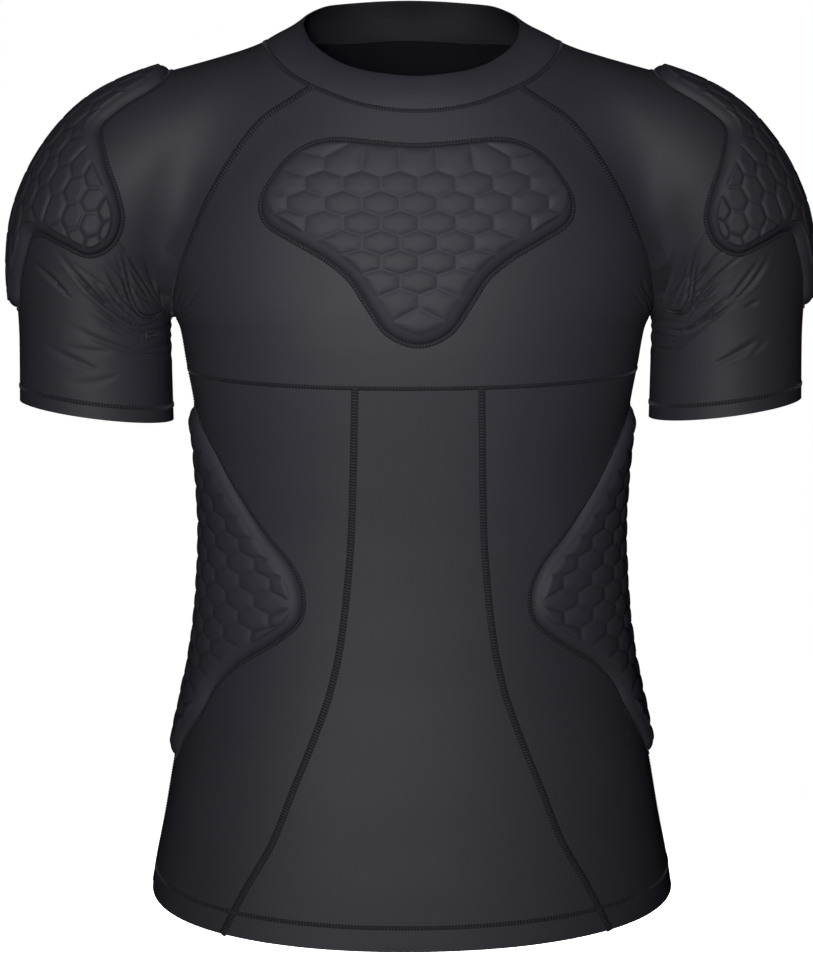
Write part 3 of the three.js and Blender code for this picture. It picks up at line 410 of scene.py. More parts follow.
# Every crease as a row of points on the figure, with its depth and width
def creaseLines():
    lines = []
    for side, table in ((-1, rightCreases), (1, leftCreases)):
        for faceName, face in (("front", -1), ("back", 1)):
            for points, depth, width in table[faceName]:
                flat = bentLine(points)
                line = ontoFace(flat[:, 0], flat[:, 1], face)
                gain = creaseForm["troughGain" if depth > 0 else "ridgeGain"]
                lines.append((line * [side, 1, 1], depth * gain, width * creaseForm["widthGain"], 0.5))
            lines += fanOfLines(side, face)
    for side, rows in innerFolds.items():
        for height, lean, depth, width in rows:
            turn = np.radians(np.linspace(120, 245, creaseForm["samples"]))
            z = height + lean * np.sin(turn * 2)
            line = roundSleeve(turn, z)
            lines.append((line * [side, 1, 1], depth * creaseForm["innerGain"], width, 0.2))
    for side, face, points, depth, width in bodyFolds:
        flat = bentLine(points)
        line = ontoFace(flat[:, 0], flat[:, 1], face, 0)
        lines.append((line * [side, 1, 1], depth, width, 0.6))
    return lines


creases = creaseLines()
print("creases laid on the figure:", len(creases))


# Height of the cloth above the figure: each crease is a trough between two lower swellings, full over its
# middle, fading towards its ends and narrower by the underarm. Where creases meet, the deepest counts.
def rippleAt(p):
    flat = p.reshape(-1, 3)
    deep, swell = np.zeros(len(flat)), np.zeros(len(flat))
    for line, depth, width, fade in creases:
        reach = 4 * width
        near = np.all((flat > line.min(0) - reach) & (flat < line.max(0) + reach), axis=1).nonzero()[0]
        if len(near) == 0:
            continue
        far = np.linalg.norm(flat[near, None] - line[None], axis=2)
        at = far.argmin(axis=1) / (len(line) - 1)
        far = far.min(axis=1)
        strength = softStep(0, creaseForm["fadeNear"], at) * softStep(0, fade, 1 - at)
        wide = width * mix(creaseForm["narrowest"], 1, softStep(0, 0.5, at))
        trough = strength * np.exp(-(far / wide) ** 1.7)
        sides = strength * np.exp(-((far - 2 * wide) / (1.1 * wide)) ** 2)
        deep[near] = np.maximum(deep[near], depth * trough)
        swell[near] = np.maximum(swell[near], np.where(depth > 0, creaseForm["swelling"] * depth * sides,
                                                    -depth * trough))
    return (swell - creaseForm["deepening"] * deep).reshape(p.shape[:-1])


# Piece of mesh in metres from points in millimetres; faces is a list of arrays of point numbers
# and slots numbers the material of each face
def makePiece(name, points, faces, materials, uv=None, weld=0.0, sharp=50, slots=None):
    mesh = bpy.data.meshes.new(name)
    corners = [face for part in faces for face in part.tolist()]
    mesh.from_pydata((np.asarray(points) * 0.001).tolist(), [], corners)
    if uv is not None:
        loops = np.concatenate([part.ravel() for part in faces])
        layer = mesh.uv_layers.new(name="clothRun")
        layer.data.foreach_set("uv", np.asarray(uv, np.float32)[loops].ravel())
    for material in materials:
        mesh.materials.append(material)
    if slots is not None:
        mesh.polygons.foreach_set("material_index", np.asarray(slots, np.int32))
    if weld > 0:
        build = bmesh.new()
        build.from_mesh(mesh)
        bmesh.ops.remove_doubles(build, verts=build.verts, dist=weld * 0.001)
        bmesh.ops.dissolve_degenerate(build, edges=build.edges, dist=1e-7)
        build.to_mesh(mesh)
        build.free()
    mesh.shade_smooth()
    mesh.set_sharp_from_angle(angle=np.radians(sharp))
    piece = bpy.data.objects.new(name, mesh)
    bpy.context.collection.objects.link(piece)
    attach(piece, "root")
    print("made", name, sum(len(part) * (part.shape[1] - 2) for part in faces), "triangles")
    return piece


# Four-sided faces between neighbours in a grid of point numbers
def quads(index):
    return np.stack([index[:-1, :-1], index[:-1, 1:], index[1:, 1:], index[1:, :-1]], axis=-1).reshape(-1, 4)


def gridFaces(rows, columns):
    return quads(np.arange(rows * columns).reshape(rows, columns))


# Whether faces look away from the directions given for them
def lookBack(points, faces, outward):
    corner = points[faces]
    facing = np.cross(corner[:, 2] - corner[:, 0], corner[:, 3] - corner[:, 1])
    return np.sum(facing * outward) < 0


# Lengths along the rows and down the columns of a grid, for the run of the knit
def clothRun(grid):
    u = runLengths(grid)
    v = runLengths(grid.swapaxes(0, 1)).T
    middle = grid.shape[1] // 2
    u = u - u[:, middle:middle + 1]
    return np.stack([u, -v], axis=-1)


# A panel: outer points are the figure's plus the ripple, inner points lie one wall further in.
# Sewn edges draw back by half a seam gap, square to the seam.
def panelSurfaces(grid, top, foot, sides):
    normal = outwardAt(grid)
    moved = grid + normal * rippleAt(grid)[..., None]
    alongRows = np.gradient(grid, axis=1)
    downColumns = np.gradient(grid, axis=0)
    half = seams["gap"] / 2

    def drawBack(rows, columns, along, inward):
        way = unit(np.cross(along[rows, columns], normal[rows, columns]))
        way *= np.sign(np.sum(way * inward, axis=-1, keepdims=True))
        moved[rows, columns] += way * half

    if top:
        drawBack(0, slice(None), alongRows, grid[1] - grid[0])
    if foot:
        drawBack(-1, slice(None), alongRows, grid[-2] - grid[-1])
    rows = slice(0, sides)
    drawBack(rows, 0, downColumns, grid[rows, 1] - grid[rows, 0])
    drawBack(rows, -1, downColumns, grid[rows, -2] - grid[rows, -1])
    return moved, moved - normal * seams["wall"], normal


# Closed shell between an outer and an inner grid; rows from openRows on join up into a tube
def shellPiece(name, outer, inner, normal, materials, openRows=None):
    rows, columns = outer.shape[:2]
    skin = gridFaces(rows, columns)
    count = rows * columns
    index = np.arange(count).reshape(rows, columns)
    a, b = index[:, 0], index[:, -1]
    last = rows - 1 if openRows is None else openRows
    left = np.stack([a[:last], a[1:last + 1], a[1:last + 1] + count, a[:last] + count], axis=-1)
    right = np.stack([b[1:last + 1], b[:last], b[:last] + count, b[1:last + 1] + count], axis=-1)
    t, f = index[0], index[-1]
    upper = np.stack([t[1:], t[:-1], t[:-1] + count, t[1:] + count], axis=-1)
    lower = np.stack([f[:-1], f[1:], f[1:] + count, f[:-1] + count], axis=-1)
    faces = [skin, skin[:, ::-1] + count, left, right, upper, lower]
    points = np.concatenate([outer.reshape(-1, 3), inner.reshape(-1, 3)])
    if lookBack(points, skin, normal.reshape(-1, 3)[skin[:, 0]]):
        faces = [part[:, ::-1] for part in faces]
    run = clothRun(outer).reshape(-1, 2)
    slots = np.zeros(sum(len(part) for part in faces))
    # Inner faces take the second material: the reverse side of the knit, darkened as painted shade
    slots[len(skin):2 * len(skin)] = 1
    return makePiece(name, points, faces, materials, np.concatenate([run, run]), weld=0.002, slots=slots)


# Shader maths: wraps a socket, and arithmetic on it adds Math nodes
class Shade:
    def __init__(self, tree, socket):
        self.tree, self.socket = tree, socket

    def math(self, operation, *values):
        return addNode(self.tree, "ShaderNodeMath", {"operation": operation}, dict(enumerate(values)))

    def __add__(self, other):
        return self.math("ADD", self, other)

    def __sub__(self, other):
        return self.math("SUBTRACT", self, other)

    def __rsub__(self, other):
        return self.math("SUBTRACT", other, self)

    def __mul__(self, other):
        return self.math("MULTIPLY", self, other)

    def __truediv__(self, other):
        return self.math("DIVIDE", self, other)

    __radd__ = __add__

    def part(self):
        return self.math("FRACT", self)

    def size(self):
        return self.math("ABSOLUTE", self)

    def wave(self):
        return self.math("COSINE", self * (2 * np.pi))


# Any node: its settings are set first, then the values or links of its sockets
def addNode(tree, kind, settings=None, values=None, output=0):
    node = tree.nodes.new(kind)
    for key, value in (settings or {}).items():
        setattr(node, key, value)
    for key, value in (values or {}).items():
        socket = node.inputs[key]
        if isinstance(value, Shade):
            tree.links.new(value.socket, socket)
        else:
            socket.default_value = value
    return Shade(tree, node.outputs[output]) if node.outputs else node


# Charcoal between a cloth's dark and light values
def charcoalMix(tree, share, look):
    dark, light = [(look[key], look[key] * 0.95, look[key] * 1.26, 1) for key in ("dark", "light")]
    return addNode(tree, "ShaderNodeMix", {"data_type": "RGBA"}, {0: share, 6: dark, 7: light}, 2)


def noise(tree, scale, detail):
    place = addNode(tree, "ShaderNodeTexCoord", None, None, 3)
    return addNode(tree, "ShaderNodeTexNoise", None, {"Vector": place, "Scale": scale, "Detail": detail})


def emptyMaterial(name):
    material = bpy.data.materials.new(name)
    material.use_nodes = True
    material.node_tree.nodes.clear()
    return material, material.node_tree


def finishMaterial(tree, look, shade, rough, relief):
    bump = addNode(tree, "ShaderNodeBump", None,
                   {"Height": relief, "Strength": look["bump"], "Distance": 0.0002})
    surface = addNode(tree, "ShaderNodeBsdfPrincipled", None, {
        "Base Color": charcoalMix(tree, shade, look), "Roughness": rough, "Normal": bump,
        "Specular IOR Level": look["gloss"]})
    addNode(tree, "ShaderNodeOutputMaterial", None, {"Surface": surface})


# Stretch knit: loops in upright columns, each a soft V, with a fine grain.
# The loops follow the piece's own run of cloth, in millimetres.
def knitMaterial(name, look):
    material, tree = emptyMaterial(name)
    run = addNode(tree, "ShaderNodeUVMap", {"uv_map": "clothRun"})
    split = addNode(tree, "ShaderNodeSeparateXYZ", None, {0: run}).socket.node
    u, v = Shade(tree, split.outputs[0]), Shade(tree, split.outputs[1])
    column = ((u / look["column"]).part() - 0.5).size()
    loop = (v / look["loop"] + column * 0.9).wave() * 0.5 + 0.5
    knit = loop * (1 - column * 1.4)
    broad = noise(tree, 14.0, 3.0)
    fine = noise(tree, 420.0, 2.0)
    shade = broad * 0.55 + knit * 0.25 + fine * 0.2
    rough = look["rough"] + (broad - 0.5) * 0.12 - knit * 0.03
    finishMaterial(tree, look, shade, rough, knit * 0.7 + fine * 0.3)
    return material


# Sewing thread, and the bands it covers: dark, with a fine twist in the shade
def threadMaterial(name, look):
    material, tree = emptyMaterial(name)
    grain = noise(tree, 900.0, 2.0)
    finishMaterial(tree, look, grain, look["rough"] + grain * 0.1, grain)
    return material


cloths = {
    "body": {"dark": 0.019, "light": 0.028, "rough": 0.6, "gloss": 0.22, "bump": 0.35,
             "column": 1.15, "loop": 0.95},
    "collar": {"dark": 0.024, "light": 0.034, "rough": 0.6, "gloss": 0.2, "bump": 0.4,
               "column": 1.0, "loop": 0.85},
    "pad": {"dark": 0.021, "light": 0.031, "rough": 0.62, "gloss": 0.22, "bump": 0.4,
            "column": 1.15, "loop": 0.95},
    # Reverse sides: the knit of the inner faces, darkened as painted shade for the shade inside the shirt
    "bodyReversePaintedShade": {"dark": 0.0035, "light": 0.007, "rough": 0.7, "gloss": 0.05, "bump": 0.4,
                    "column": 1.15, "loop": 0.95},
    # The collar band's reverse side is likewise darkened as painted shade
    "collarReversePaintedShade": {"dark": 0.006, "light": 0.011, "rough": 0.6, "gloss": 0.08, "bump": 0.4,
                      "column": 1.0, "loop": 0.85},
    "band": {"dark": 0.008, "light": 0.014, "rough": 0.65, "gloss": 0.1, "bump": 0.3},
    "thread": {"dark": 0.022, "light": 0.036, "rough": 0.6, "gloss": 0.15, "bump": 0.3},
}
bodyCloth = knitMaterial("charcoalSatinKnit", cloths["body"])
bodyReversePaintedShade = knitMaterial("knitReversePaintedShade", cloths["bodyReversePaintedShade"])
collarCloth = knitMaterial("collarBandKnit", cloths["collar"])
collarReversePaintedShade = knitMaterial("collarBandReversePaintedShade", cloths["collarReversePaintedShade"])
padCloth = knitMaterial("quiltedPadCover", cloths["pad"])
seamBand = threadMaterial("darkSeamBand", cloths["band"])
thread = threadMaterial("flatlockThread", cloths["thread"])

# How finely each panel is drawn, and how much rows and columns crowd towards underarm and seams
fineness = {"raglan": 140, "underarm": 22, "lower": 130, "side": 66, "centre": 44, "back": 96, "yoke": 160,
            "sleeve": 220, "cuff": 50}
crowding = {"raglan": 0.5, "sleeve": 0.09, "down": 1.3}

raglanRows = fineness["raglan"]
raglanShare = np.linspace(0, 1, raglanRows + 1)
raglanShare = raglanShare + crowding["raglan"] * raglanShare * (1 - raglanShare)


# Points of a line at shares of its steps
def linePoints(line, share):
    steps = np.arange(len(line))
    return np.stack([np.interp(share * (len(line) - 1), steps, line[:, axis]) for axis in range(3)], axis=1)


raglanFront = linePoints(raglanLine(raglanFrontX, seams["frontTurn"], -1, 4 * raglanRows), raglanShare)
raglanBack = linePoints(raglanLine(raglanBackX, seams["backTurn"], 1, 4 * raglanRows), raglanShare)
sideShare = (np.arange(1, fineness["underarm"] + 1) / fineness["underarm"]) ** crowding["down"]
sideSeam = trunkPoint(np.pi / 2, mix(underarm[2], seams["chestSideZ"], sideShare))


# Upper front or back: rows sink from the neck seam to the chest seam's level, and the sides follow the
# raglans and side seams. Near the neck the rows are drawn over towards the neck seam's own curve.
def upperPanel(shares, raglan, face):
    edge = np.concatenate([raglan, sideSeam])
    rowShare = np.concatenate([raglanShare * 10, 10 + 2 * sideShare]) / 12
    if face < 0:
        neck = neckPoint(shares * seams["frontTurn"])
        footZ = seams["chestFrontZ"]
    else:
        neck = neckPoint(np.where(shares < 0, -1, 1) * (180 - np.abs(shares) * (180 - seams["backTurn"])))
        footZ = seams["chestSideZ"]
    middle = len(shares) // 2
    middleZ = mix(neck[middle, 2], footZ, rowShare)[:, None]
    spread = np.sin(shares * np.pi / 2) ** 2
    z = mix(middleZ, edge[:, 2:3], spread)
    endTurn = np.abs(trunkTurn(edge))[:, None]
    away = np.abs(shares)
    turn = away * endTurn if face < 0 else np.pi - away * (np.pi - endTurn)
    pull = np.clip(1 - rowShare * 3, 0, 1)[:, None] ** 2
    z = z + (neck[:, 2] - z[0]) * pull
    turn = turn + (np.abs(trunkTurn(neck)) - turn[0]) * pull
    grid = trunkPoint(np.where(shares < 0, -1, 1) * turn, z)
    grid[0] = neck
    grid[:, -1] = edge if shares[-1] > 0 else mirrored(edge)
    grid[:, 0] = mirrored(edge) if shares[0] < 0 else edge
    return grid


rowShares = np.linspace(0, 1, fineness["lower"] + 1)
princess = princessTurns(rowShares)[:, None]


def lowerPanel(turns):
    return trunkPoint(turns, mix(chestSeamZ(turns), hemZ(turns), rowShares[:, None]))


# Sleeve: arcs between the two raglan seams above the underarm, closed rings below it
def sleevePanel():
    w = np.linspace(0, 1, fineness["sleeve"] + 1)
    w = w - crowding["sleeve"] * np.sin(2 * np.pi * w)
    share = raglanShare[:-1]
    place, outward, onward = armAt(mix(seams["neckArcLength"], startLength, share))

    def endOf(line, sign):
        away = line[:-1] - place
        turn = np.arctan2(sign * away[:, 1], np.sum(away * outward, axis=1))
        return np.where(turn < -0.5, turn + 2 * np.pi, turn)[:, None], np.sum(away * onward, axis=1)[:, None]

    frontTurn, frontShift = endOf(raglanFront, -1)
    backTurn, backShift = endOf(raglanBack, 1)
    turn = mix(frontTurn, -backTurn, w)
    shift = np.where(turn > 0, frontShift * (turn / frontTurn) ** 2, backShift * (turn / backTurn) ** 2)
    direction = outward[:, None] * np.cos(turn)[..., None] + vectors(0, -np.sin(turn), 0)
    arcs = leave(place[:, None] + onward[:, None] * shift[..., None], direction)
    neckArc = neckPoint(mix(seams["frontTurn"], seams["backTurn"], w))
    pull = ((1 - share) ** 3)[:, None, None]
    arcs = settle(arcs + (neckArc - arcs[0]) * pull)
    arcs[0] = neckArc
    arcs[:, 0], arcs[:, -1] = raglanFront[:-1], raglanBack[:-1]
    ringTurn = mix(turn[-1, 0], -2 * np.pi + turn[-1, 0], w)
    down = np.linspace(0, 1, fineness["cuff"] + 1)[:, None] ** crowding["down"]
    rings = roundSleeve(ringTurn, mix(underarm[2], cuffZ(ringTurn), down))
    rings[0, 0] = rings[0, -1] = underarm
    rings[:, -1] = rings[:, 0]
    return np.concatenate([arcs, rings])


frontShares = np.linspace(-1, 1, fineness["yoke"] + 1)
backShares = np.linspace(1, -1, fineness["back"] + 1)
backTurns = np.where(backShares < 0, -1, 1) * (np.pi - np.abs(backShares) * np.pi / 2)

yokeGrid = upperPanel(frontShares, raglanFront, -1)
centreGrid = lowerPanel(mix(-princess, princess, np.linspace(0, 1, fineness["centre"] + 1)))
sideGrid = lowerPanel(mix(princess, np.pi / 2, np.linspace(0, 1, fineness["side"] + 1)))
backGrid = np.concatenate([upperPanel(backShares, raglanBack, 1), lowerPanel(backTurns[None])[1:]])
sleeveGrid = sleevePanel()
print("panels drawn on the figure")

# Name, grid, sewn top and foot, sewn side rows, the cut that shows (width, length and area in metres)
panels = [
    ("upperFront", "front_yoke", yokeGrid, True, True, None, (0.46, 0.21), 0.0657),
    ("middleFront", "front_centre", centreGrid, True, False, None, (0.275, 0.40), 0.055),
    ("sideFrontLeft", "front_side_left", sideGrid, True, False, None, (0.215, 0.395), 0.0567),
    ("sideFrontRight", "front_side_right", mirrored(sideGrid), True, False, None, (0.215, 0.395), 0.0567),
    ("backPanel", "back", backGrid, True, False, None, (0.48, 0.64), 0.236),
    ("sleeveLeft", "sleeve_left", sleeveGrid, True, False, raglanRows, (0.345, 0.33), 0.0843),
    ("sleeveRight", "sleeve_right", mirrored(sleeveGrid), True, False, raglanRows, (0.345, 0.33), 0.0843),
]
for name, node, grid, top, foot, openRows, flat, area in panels:
    outer, inner, normal = panelSurfaces(grid, top, foot, openRows)
    piece = shellPiece(name, outer, inner, normal, [bodyCloth, bodyReversePaintedShade], openRows)
    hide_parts(node)

# Collar band: doubled cloth from the neck seam to its free edge, a little bowed, its edge folded round
collarBand = {"bow": 2.2, "stations": 420, "wall": 1.7, "foldSteps": 5, "upSteps": 10,
              "perDegree": 1.5}


# The band's section: up the outer side, round the fold in half a circle, down the inner side
def collarPiece():
    turn = np.linspace(-180, 180, collarBand["stations"] + 1)[:-1]
    away = np.abs(turn)
    angle = np.radians(turn)
    seam = neckPoint(turn)
    radius = curveThrough(collarEdge, away, 0)
    edge = vectors(radius * np.sin(angle), -radius * np.cos(angle), curveThrough(collarEdge, away, 1))
    rise = unit(edge - seam)
    level = unit(seam * [1, 1, 0])
    bulge = unit(level - rise * np.sum(level * rise, axis=1, keepdims=True))
    normal = outwardAt(seam)
    up = np.linspace(0, 1, collarBand["upSteps"] + 1)[None, :, None]
    outer = mix(seam[:, None], edge[:, None], up) + bulge[:, None] * collarBand["bow"] * 4 * up * (1 - up)
    outer[:, 0] += rise * seams["gap"] / 2
    way = unit(mix(normal[:, None], bulge[:, None], up))
    inner = outer - way * collarBand["wall"]
    halfWall = collarBand["wall"] / 2
    fold = np.radians(np.linspace(0, 180, collarBand["foldSteps"] + 2)[1:-1])[None, :, None]
    tip = unit(outer[:, -1] - outer[:, -2])[:, None]
    centre = (outer[:, -1:] + inner[:, -1:]) / 2
    cap = centre + way[:, -1:] * np.cos(fold) * halfWall + tip * np.sin(fold) * halfWall
    ring = np.concatenate([outer, cap, inner[:, ::-1]], axis=1)
    stations, steps = ring.shape[:2]
    index = np.arange(stations * steps).reshape(stations, steps)
    index = np.concatenate([index, index[:1]])
    index = np.concatenate([index, index[:, :1]], axis=1)
    faces = quads(index)
    points = ring.reshape(-1, 3)
    if lookBack(points, faces[:1], normal[:1]):
        faces = faces[:, ::-1]
    across = away[:, None] * collarBand["perDegree"]
    run = np.stack(np.broadcast_arrays(across, runLengths(ring)), axis=-1).reshape(-1, 2)
    # The band's inner side takes the reverse material, darkened as painted shade
    slots = np.tile(np.arange(steps) >= collarBand["upSteps"] + collarBand["foldSteps"] - 1, stations)
    return makePiece("collarBand", points, [faces], [collarCloth, collarReversePaintedShade], run, slots=slots)


collar = collarPiece()
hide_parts("collar")

# Quilted pads. Outlines as the front view shows them (half width, height)
chestPad = {
    "height": 6.3, "groove": 4.75, "foot": 0.95, "edge": 0.3, "narrow": 2.0, "wide": 7.4, "cell": (25, 12.8),
    "steps": 6, "rim": 0.0, "round": 3.2,
    "outline": [(0, -75.5), (30, -73.5), (55, -71.5), (68, -73.5), (84, -82), (97, -97), (105, -113),
                (102, -125), (85, -136), (62, -149), (46, -162), (34, -180), (20, -199), (0, -206.5)],
}
shoulderPad = {
    "height": 6.9, "groove": 5.5, "foot": 0.95, "edge": 0.3, "narrow": 6.3, "wide": 6.3, "cell": (13.5, 17),
    "steps": 5, "rim": 0.35, "round": 4.0, "stretch": 1.25,
    "outline": [(172, -27), (180, -36), (204, -51), (217, -63), (215, -82), (206, -108), (203, -126),
                (210, -143), (224, -150), (242, -143), (257, -136), (265, -137), (271, -152), (276, -172),
                (278, -188)],
}
ribPad = {
    "height": 6.7, "groove": 5.25, "foot": 0.95, "edge": 0.3, "narrow": 6.5, "wide": 6.5, "cell": (25, 12.8),
    "steps": 6, "rim": 0.0, "round": 3.2,
    "outline": [(156, -262), (152, -268), (142, -285), (125, -314), (105, -343), (87, -365), (80, -384),
                (82, -401), (97, -416), (126, -437), (141, -455), (151, -475), (163, -496), (171, -514)],
}


# Shared by all pads: how the flank widens below, how far the outermost cells may lie from the outline,
# how the rings crowd in a cell, the low rim within it, and the steps down the flank
padForm = {"lean": 0.9, "slide": 0.18, "crowding": 1.3, "rimAt": 0.3, "rimWidth": 0.14, "hollow": 0.5,
           "flankSteps": 5}


# Closed smooth outline: cubic pieces whose slopes use the square roots of the chords, in 240 equal steps
def smoothOutline(corners, count=240, samples=40):
    p = np.array(corners, float)
    before, after, beyond = np.roll(p, 1, 0), np.roll(p, -1, 0), np.roll(p, -2, 0)
    gap = [np.maximum(np.linalg.norm(b - a, axis=1, keepdims=True) ** 0.5, 1e-4)
           for a, b in ((before, p), (p, after), (after, beyond))]
    slopeIn = ((p - before) / gap[0] - (after - before) / (gap[0] + gap[1]) + (after - p) / gap[1]) * gap[1]
    slopeOut = ((after - p) / gap[1] - (beyond - p) / (gap[1] + gap[2]) + (beyond - after) / gap[2]) * gap[1]
    t = (np.arange(samples) / samples)[None, :, None]
    a, b, c, d = p[:, None], after[:, None], slopeIn[:, None], slopeOut[:, None]
    curve = a + c * t + (3 * b - 3 * a - 2 * c - d) * t**2 + (2 * a - 2 * b + c + d) * t**3
    curve = curve.reshape(-1, 2)
    return evenly(np.concatenate([curve, curve[:1]]), count)[:-1]


def insideOutline(outline, points):
    a, b = outline[None], np.roll(outline, -1, 0)[None]
    u, v = points[:, None, 0], points[:, None, 1]
    spans = (a[..., 1] > v) != (b[..., 1] > v)
    level = np.where(b[..., 1] == a[..., 1], 1, b[..., 1] - a[..., 1])
    crossing = spans & (u < a[..., 0] + (v - a[..., 1]) * (b[..., 0] - a[..., 0]) / level)
    return crossing.sum(axis=1) % 2 == 1


# Point of an outline at a mark (a number of steps round it), and the direction into the pad there
def onOutline(outline, mark):
    count = len(outline)
    turns = np.mod(mark, count)
    i = np.floor(turns).astype(int) % count
    return mix(outline[i], outline[(i + 1) % count], (turns - np.floor(turns))[..., None])


def intoPad(outline, mark):
    way = onOutline(outline, mark + 1.5) - onOutline(outline, mark - 1.5)
    a, b = outline, np.roll(outline, -1, 0)
    handed = np.sign(np.sum(a[:, 0] * b[:, 1] - a[:, 1] * b[:, 0]))
    return unit(np.stack([-way[..., 1], way[..., 0]], axis=-1)) * handed


# Six-sided cells that fill the outline: cell corners, and the marks to which the outermost corners slide
def padCells(outline, wide, tall):
    low, high = outline.min(0), outline.max(0)
    reach = int(np.ceil(np.linalg.norm(high - low) / tall))
    row, column = np.mgrid[-reach:reach + 1, -reach:reach + 1].reshape(2, -1)
    shift = (row % 2) * 0.5
    centre = (low + high) / 2 + np.stack([(column + shift) * wide, row * tall], axis=1)
    keep = insideOutline(outline + intoPad(outline, np.arange(len(outline))) * tall * padForm["slide"], centre)
    row, column, shift, centre = row[keep], column[keep], shift[keep], centre[keep]
    corner = np.array([[0, 2], [0.5, 1], [0.5, -1], [0, -2], [-0.5, -1], [-0.5, 1]]) / [1, 3]
    places = centre[:, None] + corner * [wide, tall]
    keys = np.stack([np.rint(2 * ((column + shift)[:, None] + corner[:, 0])),
                     np.rint(3 * (row[:, None] + corner[:, 1]))], axis=-1).reshape(-1, 2)
    _, first, number = np.unique(keys, axis=0, return_index=True, return_inverse=True)
    number = number.reshape(-1, 6)
    places = places.reshape(-1, 2)[first]
    start, end = number.ravel(), np.roll(number, -1, 1).ravel()
    many = len(places)
    rim = ~np.isin(start * many + end, end * many + start)
    follower = dict(zip(start[rim].tolist(), end[rim].tolist()))
    loop = [next(iter(follower))]
    while len(loop) < len(follower):
        loop.append(follower[loop[-1]])
    loop = np.array(loop)
    count = len(outline)
    nearest = np.linalg.norm(places[loop][:, None] - outline[None], axis=2).argmin(axis=1)
    marks = np.unwrap(nearest.astype(float), period=count)
    lap = np.sign(marks[-1] - marks[0]) * count
    for _ in range(4):
        earlier = np.concatenate([[marks[-1] - lap], marks[:-1]])
        later = np.concatenate([marks[1:], [marks[0] + lap]])
        marks = marks / 2 + (earlier + later) / 4
    return number, places, rim.reshape(-1, 6), loop, marks, lap


